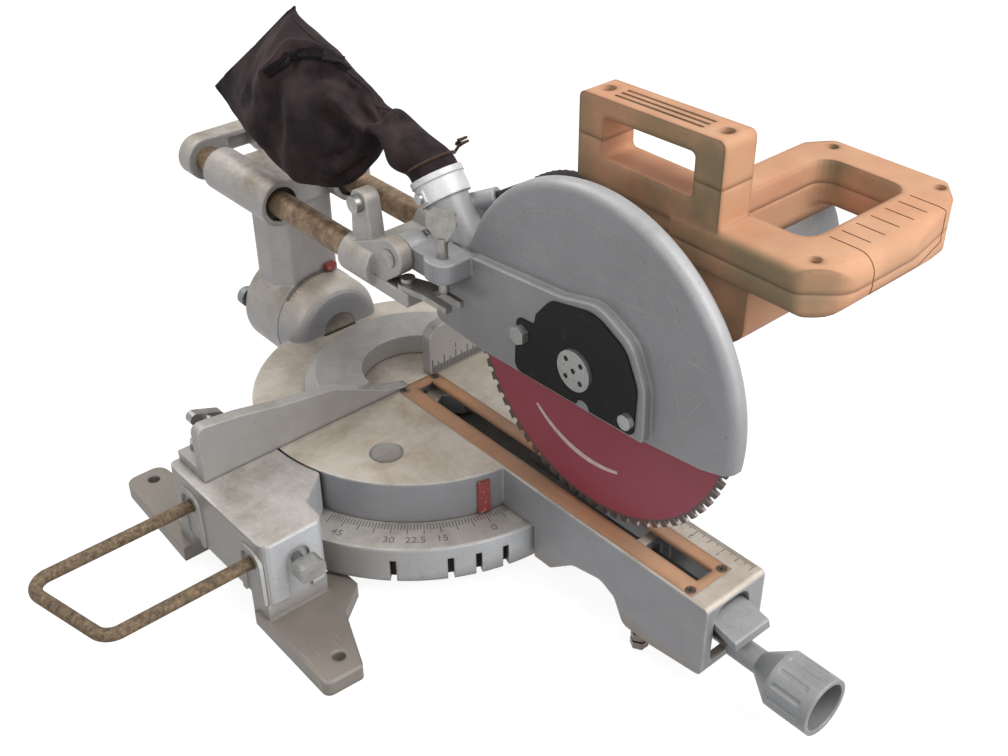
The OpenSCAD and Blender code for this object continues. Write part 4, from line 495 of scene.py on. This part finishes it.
# Rails: two ground steel bars that have rusted to an even brown, joined behind by a cast bracket and in front
# by the casting that carries the head.
# a thin film of rust on ground steel: brown, with some of the metal's shine left
rail_tones = ((0.3, "#4a3a2d"), (0.48, "#78624c"), (0.62, "#957d62"), (0.75, "#a99377"))
rail_steel = rusted_steel("ground steel bar, brown rust film", 0.01, 0.7, rail_tones, 0.55, 0.4)
finish_with(rail_steel, "slide_rails")
finish_with(arm_metal, "rail_end_bracket", "carriage")

# Hinge of the head: a pin with a wound return spring, and the forked plate that stops the depth screw. All
# are steel, plated like the bolts of the base.
finish_with(zinc, "hinge_pin", "hinge_spring", "carriage_screws", "stop_plate", "depth_screw")


# Guard: the thin cast drum over the blade with its hub plate, hinge arm and dust spout in one casting,
# wiped cleaner than the base. A panel is scribed on its face and left bare, and use has scratched it.
def scribe(form, x, line, deep, wide, overlap=0):
    """Straight strokes on the guard's face at x, through points given as y and z above the table, in mm."""
    ends = [Vector((x, y / 1000, table_top + z / 1000)) for y, z in line]
    for a, b in zip(ends, ends[1:]):
        run = b - a
        turn = Matrix.Rotation(math.atan2(run.z, run.y), 4, "X")
        put_mark(form, (deep, run.length + overlap, wide), Matrix.Translation((a + b) / 2) @ turn)


guard_metal = cast_aluminium("die-cast aluminium, wiped", "#a6a6a7", "#8c8c8f", "#6f6a64", 0.35, "#d4d4d2", 0.0028)
finish_with(guard_metal, "guard_casting")
# freshly turned metal: the palest piece of the head
collar_metal = cast_aluminium("turned aluminium, bright", "#d8d9da", "#d2d3d4", "#8b857d", 0.5, "#f0f0ee")
finish_with(collar_metal, "spout_collar")
# a scriber cuts through the dull skin, so its lines are a shade paler than the guard
scribed = cast_aluminium("die-cast aluminium, scribed bright", "#b4b4b3", "#a2a2a3", "#8c8780", 0.3, "#cfcfcd")
panel_edge = [(-115, 190), (-123, 202), (-145, 218), (-167, 227.5), (-187, 232), (-209, 233.5), (-237, 231),
              (-256, 224.5), (-273, 214), (-284.5, 203), (-286, 197), (-281, 192.5), (-229, 187.5), (-178, 185),
              (-123, 184.5), (-117, 186)]
form = bmesh.new()
scribe(form, -0.00905, panel_edge + panel_edge[:1], 0.0002, 0.0007, overlap=0.0006)
make_piece("guard_panel_line", form, scribed, "head")
form = bmesh.new()
for line in (((-283, 163), (-290, 140.5), (-297.5, 117)), ((-309, 147), (-301.5, 133)), ((-262, 172), (-270, 160)),
             ((-240, 118), (-262, 112))):
    scribe(form, -0.00903, line, 0.0001, 0.0006)
make_piece("guard_scratches", form, scribed, "head")

# Cover over the arbor: a pressed steel plate in black enamel, bolted on, with the plated hub disc on which a
# lower guard would turn.
# baked enamel: deep black with a weak gloss, greyed by scuffs of 10 mm
cover_enamel = coat("black enamel on steel, scuffed", 0.01, 9, "#0d0d0f", "#403c39", 0.5, 0.2, (0.55, 0.8), 0.5, 0.75)
finish_with(cover_enamel, "centre_cover")
# plating that is still whole: pale and shiny
bright_zinc = plated_steel("zinc plated steel, bright", "#c3c5c6", "#a3a4a4", 0.3)
finish_with(bright_zinc, "guard_hub", "guard_fasteners")

# Dust bag: two panels of black woven nylon sewn into a slack pouch, with a zip across one panel and a neck
# that the wire clip holds on the collar. It hangs behind the spout and lies over the slide.
# woven nylon: matt, a faint sheen at grazing angles, faded brownish in patches of 40 mm, with lint of 7 mm
bag_cloth, tree, shader, place = surface("black woven nylon, dusty")
fade = add(tree, "TexNoise", {"Scale": 1 / 0.04, "Detail": 6, "Roughness": 0.65}, {"Vector": place})
fade_share = add(tree, "MapRange", {"From Min": 0.4, "From Max": 0.72}, {"Value": fade})
cloth_tone = add(tree, "MixRGB", {"Color1": linear("#221d1f"), "Color2": linear("#473839")}, {"Fac": fade_share})
lint = add(tree, "TexNoise", {"Scale": 1 / 0.007, "Detail": 8, "Roughness": 0.8}, {"Vector": place})
lint_share = add(tree, "MapRange", {"From Min": 0.62, "From Max": 0.82, "To Max": 0.35}, {"Value": lint})
cloth_dusty = add(tree, "MixRGB", {"Color2": linear("#6a615c")}, {"Fac": lint_share, "Color1": cloth_tone})
# the real weave is about 0.4 mm; it is drawn at 0.9 mm so that it shows
wave_turn = 6.283
thread = 0.0009
warp, weft = (add(tree, "TexWave", {"Scale": 1 / thread / wave_turn, "wave_type": "BANDS", "bands_direction": way},
                  {"Vector": place}).outputs["Fac"] for way in "YZ")
weave = add(tree, "Math", {"operation": "ADD"}, {0: warp, 1: weft})
bump = add(tree, "Bump", {"Strength": 0.2, "Distance": 0.0003}, {"Height": weave})
connect(tree, shader, {"Roughness": 0.9, "Specular IOR Level": 0.15, "Sheen Weight": 0.08,
                       "Sheen Tint": linear("#8a7a78")}, {"Base Color": cloth_dusty, "Normal": bump})

# stations along the bag: lower edge, upper edge (y and z above the table), x of each, half thickness, all in mm
stations = [((-15.5, 189), (-46.3, 213), 5, 5, 18.5), ((-12, 195), (-36, 222), 3, 4, 18.5),
            ((0, 199), (-18, 231), -3, 0, 18), ((28, 215), (7, 239), -2, -1, 17), ((49, 181), (43, 250), -11, 1, 23),
            ((68, 165), (76, 262), -18, -3, 34), ((110, 157), (103, 274), -20, -4, 38),
            ((149, 167), (125, 282), -20, -5, 38), ((190, 173), (135, 286), -21, -1, 22),
            ((228, 184), (139, 288), -17, 2, 12), ((255, 196), (141, 290), -16, 3, 3)]
rings, around = 96, 112
lift = Vector((0, 0, 85))


def along_bag(share, part):
    """Smooth value of one column of the stations at a share of the bag's length."""
    rows = [s[part] if isinstance(s[part], tuple) else (s[part],) for s in stations]
    at = min(share * (len(rows) - 1), len(rows) - 1.0001)
    i, t = int(at), at - int(at)
    p = [Vector((*rows[max(0, min(len(rows) - 1, i + k))], 0, 0)[:3]) for k in (-1, 0, 1, 2)]
    return 0.5 * (2 * p[1] + (p[2] - p[0]) * t + (2 * p[0] - 5 * p[1] + 4 * p[2] - p[3]) * t * t
                  + (3 * p[1] - p[0] - 3 * p[2] + p[3]) * t ** 3)


form = bmesh.new()
bmesh.ops.create_grid(form, x_segments=rings, y_segments=around, size=1)
for v in form.verts:
    share, turn = (v.co.x + 1) / 2, (v.co.y + 1) * math.pi
    low, high = along_bag(share, 0), along_bag(share, 1)
    low_x, high_x, half = (along_bag(share, part).x for part in (2, 3, 4))
    edge_x = (low_x + high_x) / 2 + math.cos(turn) * (high_x - low_x) / 2
    middle = (low + high) / 2 + (high - low) / 2 * math.cos(turn)
    bulge = max(0, half) * math.copysign(abs(math.sin(turn)) ** (1 + 0.35 * share), math.sin(turn))
    v.co = Vector((edge_x + bulge, middle.x, middle.y + lift.z)) / 1000
bmesh.ops.remove_doubles(form, verts=form.verts, dist=0.00005)
bmesh.ops.holes_fill(form, edges=form.edges)
bmesh.ops.recalc_face_normals(form, faces=form.faces)
bag = make_piece("dust_bag_shell", form, bag_cloth, None)
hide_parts("dust_bag")
rest_shape = [v.co.copy() for v in bag.data.vertices]
rest_out = [v.normal.copy() for v in bag.data.vertices]
neck, neck_reach, neck_fade = Vector((0.005, -0.0309, 0.2859)), 0.075, 0.03
held = bag.vertex_groups.new(name="held at the neck")
for v in bag.data.vertices:
    near = (v.co - neck).length
    held.add([v.index], max(0, min(1, (neck_reach - near) / neck_fade)), "REPLACE")
steps, most_move = 25, 0.005
cloth = bag.modifiers.new("sewn cloth", "CLOTH")
cloth.settings.quality = 6
cloth.settings.mass = 0.2
cloth.settings.tension_stiffness = 12
cloth.settings.compression_stiffness = 6
cloth.settings.bending_stiffness = 0.12
cloth.settings.use_pressure = True
cloth.settings.uniform_pressure_force = 0.6
cloth.settings.shrink_min = -0.07
cloth.settings.vertex_group_mass = held.name
cloth.settings.effector_weights.gravity = 0.3
cloth.point_cache.frame_start = 1
cloth.point_cache.frame_end = steps + 1
for step in range(1, steps + 1):
    bpy.context.scene.frame_set(step)
draped = bag.evaluated_get(bpy.context.evaluated_depsgraph_get()).to_mesh()
for v, start, now in zip(bag.data.vertices, rest_shape, [d.co.copy() for d in draped.vertices]):
    move = now - start
    v.co = start + move * min(1, most_move / max(move.length, 1e-9))
bag.modifiers.remove(cloth)
bpy.context.scene.frame_set(1)
# slack folds: points along each (x, y, z above the table, in mm), how far it stands out, and its half width
folds = [(((-30, 59, 233), (-27, 49, 228), (-25, 40, 223), (-23, 31, 219), (-13, 14, 214)), -17, 8),
         (((-26, 59, 243), (-23, 43, 236), (-22, 28, 230), (-18, 10, 226)), 8, 7),
         (((-1, 60, 256), (-13, 46, 247), (-16, 38, 242), (-18, 22, 236)), -9, 5),
         (((-32, 99, 254), (-23, 88, 258), (-13, 76, 259), (-5, 64, 257)), -7, 5),
         (((-31, 97, 252), (-42, 87, 232), (-48, 87, 207), (-40, 96, 173)), 5, 9),
         (((-28, 82, 251), (-36, 70, 233), (-43, 68, 210), (-40, 73, 181)), -5, 9),
         (((-46, 112, 240), (-52, 106, 215), (-46, 116, 185)), -5, 8),
         (((5, 30, 245), (-14, 9, 235), (-16, 9, 217)), -7, 5),
         (((2, -1, 239), (-9, -8, 233), (-14, -12, 226)), -4, 5),
         (((-29, 63, 173), (-21, 51, 183), (-10, 40, 194)), -7, 5),
         (((-37, 59, 196), (-28, 46, 203), (-23, 31, 213)), -6, 6),
         (((-42, 119, 246), (-34, 109, 255), (-28, 104, 260), (-24, 107, 265)), -8, 4.5),
         (((-42, 126, 250), (-33, 117, 260), (-24, 115, 269), (-20, 113, 273), (-12, 99, 273), (-3, 84, 268)), 8, 5),
         (((-49, 126, 232), (-49, 108, 222)), -4, 18),
         (((-30, 176, 210), (-44, 150, 205), (-48, 128, 196)), 4, 8),
         (((-33, 172, 222), (-46, 150, 222), (-48, 132, 226)), -4, 7),
         (((30, 90, 240), (34, 100, 210), (28, 110, 180)), -7, 9),
         (((26, 60, 230), (30, 76, 205), (26, 84, 182)), 6, 9),
         (((30, 150, 250), (34, 140, 215), (26, 150, 190)), -7, 9),
         (((20, 180, 240), (22, 170, 205)), 5, 10)]
deepest = -11
smooth_skin = BVHTree.FromPolygons(rest_shape, [list(f.vertices) for f in bag.data.polygons])
fold_lines = []
for line, out, width in folds:
    ends = [Vector(p) for p in line]
    dense = [a.lerp(b, i / 20) for a, b in zip(ends, ends[1:]) for i in range(20)] + ends[-1:]
    points_on = KDTree(len(dense))
    for i, p in enumerate(dense):
        points_on.insert(smooth_skin.find_nearest((p + lift) / 1000)[0] * 1000 - lift, i)
    points_on.balance()
    fold_lines.append((points_on, out, width))
for v, start, outward in zip(bag.data.vertices, rest_shape, rest_out):
    at = start * 1000 - lift
    out = sum(stand * math.exp(-(points_on.find(at)[2] / width) ** 2) for points_on, stand, width in fold_lines)
    loose = max(0, min(1, (at.y + 20) / 40))
    crease = noise.noise(at * 0.045) * 1.6 + noise.noise(at * 0.12) * 0.6
    v.co += outward * (max(out, deepest) + crease * loose) / 1000
form = bmesh.new()
form.from_mesh(bag.data)
bmesh.ops.smooth_vert(form, verts=form.verts, factor=0.5, use_axis_x=True, use_axis_y=True, use_axis_z=True)
form.to_mesh(bag.data)
form.free()
rounding = bag.modifiers.new("rounding", "SUBSURF")
rounding.levels = 1
rounding.render_levels = 1
for face in bag.data.polygons:
    face.use_smooth = True


# Zip and seams of the bag: a woven tape with metal teeth and a slider, stitched to the left panel, and corded
# seams along the edges and the end where the panels are sewn together.
def on_bag(point):
    """Place and outward direction on the bag nearest to a point."""
    spot, normal, _, _ = bag_skin.find_nearest(point)
    return spot, normal


bpy.context.view_layer.update()
bag_skin = BVHTree.FromObject(bag, bpy.context.evaluated_depsgraph_get())
zip_line = [(Vector(p) + lift) / 1000 for p in (
    (-42, 119, 246), (-36, 110, 253), (-30, 103, 258), (-27, 103, 262), (-21, 97, 265), (-13, 87, 265),
    (-6, 80, 263.5), (0, 74, 261.5), (3, 64, 257))]
zip_run = [a.lerp(b, i / 8) for a, b in zip(zip_line, zip_line[1:]) for i in range(8)]
last = len(zip_run) - 1
zip_run = [sum((zip_run[max(0, min(last, i + k))] for k in range(-3, 4)), Vector()) / 7 for i in range(last + 1)]
tape = bmesh.new()
columns = []
zip_frames = []
for i, at in enumerate(zip_run):
    ahead = (zip_run[min(i + 1, last)] - zip_run[max(i - 1, 0)]).normalized()
    spot, normal = on_bag(at)
    along = (ahead - normal * ahead.dot(normal)).normalized()
    axes = Matrix((along, normal.cross(along), normal)).transposed().to_4x4()
    across = axes.col[1].to_3d()
    zip_frames.append((axes, spot, normal, across))
    column = []
    for offset in (-4.6, -2.2, -2.0, 2.0, 2.2, 4.6):
        place_on, out = on_bag(spot + across * offset / 1000)
        column.append(tape.verts.new(place_on + out * (0.0014 if abs(offset) < 3 else 0.0005)))
    columns.append(column)
for first, second in zip(columns, columns[1:]):
    for k in range(5):
        tape.faces.new((first[k], first[k + 1], second[k + 1], second[k]))
bmesh.ops.recalc_face_normals(tape, faces=tape.faces)
# close-woven tape: blacker and flatter than the bag
tape_cloth = coat("black woven zip tape", 0.0012, 3, "#131214", "#262226", 0.9, 0.1)
zip_tape = make_piece("bag_zip_tape", tape, tape_cloth, None)
thickness = zip_tape.modifiers.new("thickness", "SOLIDIFY")
thickness.thickness = 0.0007
teeth = bmesh.new()
stitches = bmesh.new()
for i in range(1, last):
    axes, spot, normal, across = zip_frames[i]
    put_mark(teeth, (0.0009, 0.003, 0.0011), Matrix.Translation(spot + normal * 0.0018) @ axes)
    if i % 2:
        for offset in (-3.8, 3.8):
            place_on, out = on_bag(spot + across * offset / 1000)
            put_mark(stitches, (0.0017, 0.0005, 0.0004), Matrix.Translation(place_on + out * 0.001) @ axes)
# chemically blackened brass: dark, with a soft metal shine
dark_brass = plated_steel("blackened brass", "#2e2c2b", "#1b1a19", 0.5)
zip_teeth = make_piece("bag_zip_teeth", teeth, dark_brass, None)
zip_stitches = make_piece("bag_zip_stitches", stitches, tape_cloth, None)
slider_at = -16
slider = bmesh.new()
axes, spot, normal, across = zip_frames[slider_at]
put_mark(slider, (0.011, 0.0075, 0.0034), Matrix.Translation(spot + normal * 0.0026) @ axes)
put_mark(slider, (0.016, 0.0052, 0.0013),
         Matrix.Translation(spot + normal * 0.0052) @ axes @ Matrix.Translation((0.004, 0, 0)))
ease_edges(slider, 0.0005)
zip_slider = make_piece("bag_zip_slider", slider, dark_brass, None)


def round_wire(name, points, radius, material, body):
    """A round cord or wire through points, as a mesh."""
    line = bpy.data.curves.new(name, "CURVE")
    line.dimensions = "3D"
    line.bevel_depth = radius
    line.bevel_resolution = 3
    spline = line.splines.new("POLY")
    spline.points.add(len(points) - 1)
    for point, at in zip(spline.points, points):
        point.co = (*at, 1)
    shown = bpy.data.objects.new(name, line)
    bpy.context.collection.objects.link(shown)
    bpy.context.view_layer.update()
    form = bmesh.new()
    form.from_mesh(shown.to_mesh())
    bpy.data.objects.remove(shown)
    return make_piece(name, form, material, body)


seam_r, end_seam_r = 0.0009, 0.0012
seams = []
for name, part, edge_part, begin in (("bag_top_seam", 1, 3, 0.3), ("bag_low_seam", 0, 2, 0.38)):
    shares = [begin + (1 - begin) * i / 60 for i in range(61)]
    line = [Vector((along_bag(share, edge_part).x, *along_bag(share, part).xy)) + lift for share in shares]
    seams.append(round_wire(name, [on_bag(at / 1000)[0] for at in line], seam_r, bag_cloth, None))
low, high = Vector((-16, 255, 281)) / 1000, Vector((3, 141, 375)) / 1000
end_line = [on_bag(low.lerp(high, i / 50))[0] for i in range(51)]
seams.append(round_wire("bag_end_seam", end_line, end_seam_r, bag_cloth, None))
for soft in (bag, zip_tape, zip_teeth, zip_stitches, zip_slider, *seams):
    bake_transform(soft)

# Wire clip of the bag's neck: hard spring wire bent to a ring round the neck, which ends in a small coil. It
# has gone to dark rust, nearly without shine.
clip_rust = plated_steel("spring wire, dark rust", "#5d4a40", "#3b2d26", 0.6)
finish_with(clip_rust, "bag_clip")

# Drive: cast gear case and motor can behind the guard, with the ground shafts, bearings and gears and the
# wound stator inside.
finish_with(knob_metal, "gear_case", "motor_can", "motor_end_cap")
finish_with(bright_zinc, "shaft_bearings", "spindle", "blade_flanges", "arbor_bolt", "driven_gear", "armature_shaft",
            "rotor_core")
# wound wire of 1 mm under clear enamel: brown and orange lines with a metal gloss
copper, tree, shader, place = surface("enamelled copper winding")
strand = add(tree, "TexWave", {"Scale": 1 / 0.001 / wave_turn, "Distortion": 1.0}, {"Vector": place}).outputs["Fac"]
wire_tone = add(tree, "MixRGB", {"Color1": linear("#8a4f2e"), "Color2": linear("#b8784a")}, {"Fac": strand})
connect(tree, shader, {"Metallic": 0.8, "Roughness": 0.4}, {"Base Color": wire_tone})
finish_with(copper, "stator", "commutator")

# Housing and handles: two halves of faded orange ABS that hold the motor and form the loop handle, with a
# carry handle screwed on top. Faces that look left and down are darker, with grime and painted shade, and orange dust
# lies on the sunk screws.
# the grime leans to faces that look left and down, away from the key lamp: grime and painted shade
housing_plastic = moulded_plastic("orange ABS, faded and grimy", "#c68e6d", "#cf9e7c", "#8b7a5f", 0.95,
                                  (-0.95, 0.1, -0.3))
finish_with(housing_plastic, "housing_lower", "housing_upper", "carry_cap")
dusted_steel = plated_steel("steel screw, sunk, under orange dust", "#b98f6e", "#8f6a4f", 0.6)
finish_with(dusted_steel, "handle_screws")

# Grip pad: a pad moulded on the loop's front bar, with a fine groove round it and grooves across its top. The
# grooves hold dirt, so they are browner than the housing.
shell_points, shell_faces = [], []
for name in ("housing_upper", "housing_lower"):
    mesh = nodes[name].data
    before = len(shell_points)
    shell_points += [v.co.copy() for v in mesh.vertices]
    shell_faces += [[before + i for i in f.vertices] for f in mesh.polygons]
shell_skin = BVHTree.FromPolygons(shell_points, shell_faces)
bar_axis, bar_clear = Vector((0, -0.331, table_top + 0.214)), 0.05


def round_bar(x, degrees):
    """Point on the front bar's skin, at x and at an angle from the window over the top to the front."""
    look = Vector((0, math.cos(math.radians(degrees)), math.sin(math.radians(degrees))))
    spot = shell_skin.ray_cast(Vector((x, 0, 0)) + bar_axis + look * bar_clear, -look)[0]
    return spot or Vector((x, 0, 0)) + bar_axis


groove_dirt = moulded_plastic("orange ABS, dirty groove", "#7d5a42", "#8a6850", "#5d4938", 0.6, (0, 0, 1))
pad_x = (0.0925, 0.179)
groove_r, window_side, top_side, front_side = 0.0004, 52, 118, 205
grooves = [[round_bar(x, a) for a in range(window_side, front_side + 1, 4)] for x in pad_x]
grooves += [[round_bar(x, a) for a in range(window_side, top_side, 4)] for x in (0.105, 0.12, 0.1355, 0.151, 0.166)]
grooves += [[round_bar(pad_x[0] + (pad_x[1] - pad_x[0]) * i / 24, front_side) for i in range(25)]]
for i, groove in enumerate(grooves):
    round_wire("grip_groove_%d" % (i + 1), groove, groove_r, groove_dirt, "head")

# Lead: a rubber cable 70 mm long in a tapered moulded boot, from the housing into the gland on the head
# casting. The boot is pressed into the housing's rear wall.
# moulded rubber: charcoal and nearly matt, with a grey bloom of dust in clouds of 15 mm
rubber = coat("black rubber, dusty", 0.015, 6, "#19181a", "#3a3330", 0.7, 0.25)
lead_start, lead_end = Vector((58, -118, 291)), Vector((26.4, -62, 268.8))
gland_way, straight = Vector((0.48, -0.80, 0.36)), 26
bend = [lead_start, lead_start + Vector((0, straight, 0)), lead_end + gland_way * straight, lead_end]


def on_lead(t):
    """Point on the lead's smooth bend, in metres."""
    return ((1 - t) ** 3 * bend[0] + 3 * (1 - t) ** 2 * t * bend[1] + 3 * (1 - t) * t * t * bend[2]
            + t ** 3 * bend[3]) / 1000


lead_path = [on_lead(i / 30) for i in range(31)]
lead = round_wire("supply_lead", lead_path, 0.004, rubber, "head")
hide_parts("power_lead")
root_r, taper, rib = 0.0128, 0.0079, 0.0005
sleeve_path = [Vector((0.058, -0.13798 + 0.00665 * i, 0.291)) for i in range(3)] + lead_path[:13]
far = len(sleeve_path) - 1
boot_form = bmesh.new()
rounds = []
for i, at in enumerate(sleeve_path):
    ahead = (sleeve_path[min(i + 1, far)] - sleeve_path[max(i - 1, 0)]).normalized()
    swell = root_r - taper * (i / far) ** 0.8 + (rib if i % 2 else 0)
    facing = ahead.to_track_quat("Z", "Y").to_matrix().to_4x4()
    ring = bmesh.ops.create_circle(boot_form, segments=32, radius=swell, matrix=Matrix.Translation(at) @ facing)
    rounds.append(list({e for v in ring["verts"] for e in v.link_edges}))
for first, second in zip(rounds, rounds[1:]):
    bmesh.ops.bridge_loops(boot_form, edges=first + second)
bmesh.ops.holes_fill(boot_form, edges=rounds[0] + rounds[-1])
bmesh.ops.recalc_face_normals(boot_form, faces=boot_form.faces)
boot = make_piece("lead_sleeve", boot_form, rubber, "head")
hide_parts("lead_boot")
for face in [*boot.data.polygons, *lead.data.polygons]:
    face.use_smooth = len(face.vertices) < 5

# Blade: a 254 mm disc of saw steel in maroon lacquer, with ground gullets and brazed carbide tips. The
# lacquer is scratched in rings, and a plain arc in pale paint shows which way it turns.
arbor = Vector((0, -0.207, table_top + 0.1245))
# sprayed lacquer: an even maroon with a weak gloss, greyer in rings 2 mm apart and bare near the teeth
blade_lacquer, tree, shader, place = surface("saw steel in maroon lacquer, scratched")
from_arbor = add(tree, "Mapping", {"Location": (0, 0.207, -0.2095), "Scale": (0, 1, 1)}, {"Vector": place})
radius = add(tree, "VectorMath", {"operation": "LENGTH"}, {0: from_arbor}).outputs["Value"]
ring_place = add(tree, "CombineXYZ", {}, {"X": radius})
rings_seen = add(tree, "TexNoise", {"Scale": 1 / 0.002, "Detail": 4, "Roughness": 0.7}, {"Vector": ring_place})
blotch = add(tree, "TexNoise", {"Scale": 1 / 0.03, "Detail": 7, "Roughness": 0.7}, {"Vector": place})
lacquer = add(tree, "MixRGB", {"Color1": linear("#903745"), "Color2": linear("#9c4c59")}, {"Fac": blotch})
ring_share = add(tree, "MapRange", {"From Min": 0.4, "From Max": 0.8, "To Max": 0.5}, {"Value": rings_seen})
ringed = add(tree, "MixRGB", {"Color2": linear("#8d535d")}, {"Fac": ring_share, "Color1": lacquer})
bare_share = add(tree, "MapRange", {"From Min": 0.1195, "From Max": 0.1215}, {"Value": radius})
bare = add(tree, "MixRGB", {"Color2": linear("#5d4f4d")}, {"Fac": bare_share, "Color1": ringed})
connect(tree, shader, {"Roughness": 0.45, "Specular IOR Level": 0.3}, {"Base Color": bare})
finish_with(blade_lacquer, "blade")
tooth_count, tip_r, tip_lag = 72, 0.1242, 0.38
tips = bmesh.new()
for i in range(tooth_count):
    turn = Matrix.Rotation(math.radians(5 * (i + tip_lag)), 4, "X")
    put_mark(tips, (0.0026, 0.0052, 0.0016), Matrix.Translation(arbor) @ turn @ Matrix.Translation((0, tip_r, 0)))
# ground carbide: steel grey, browned by the resin of the wood
carbide = plated_steel("ground carbide, pitch stained", "#8d8682", "#5b5350", 0.35)
make_piece("blade_tips", tips, carbide, "spindle_set")
arc_r, arc_x, arc_steps = 0.0865, -0.00095, 40
arc = bmesh.new()
for i in range(arc_steps):
    angle = math.radians(-108 + 58 * i / (arc_steps - 1))
    width = 0.0042 * (0.55 + 0.45 * math.sin(math.pi * (i + 1) / (arc_steps + 1)))
    turn = Matrix.Rotation(angle, 4, "X")
    put_mark(arc, (0.0001, width, 0.0023), Matrix.Translation(arbor) @ turn @ Matrix.Translation((arc_x, arc_r, 0)))
# screen print: off-white and flat, with the maroon showing through where it is thin
arc_paint = coat("off-white print on lacquer, worn", 0.006, 6, "#e6d9d8", "#b58f95", 0.6)
make_piece("blade_arc_mark", arc, arc_paint, "spindle_set")
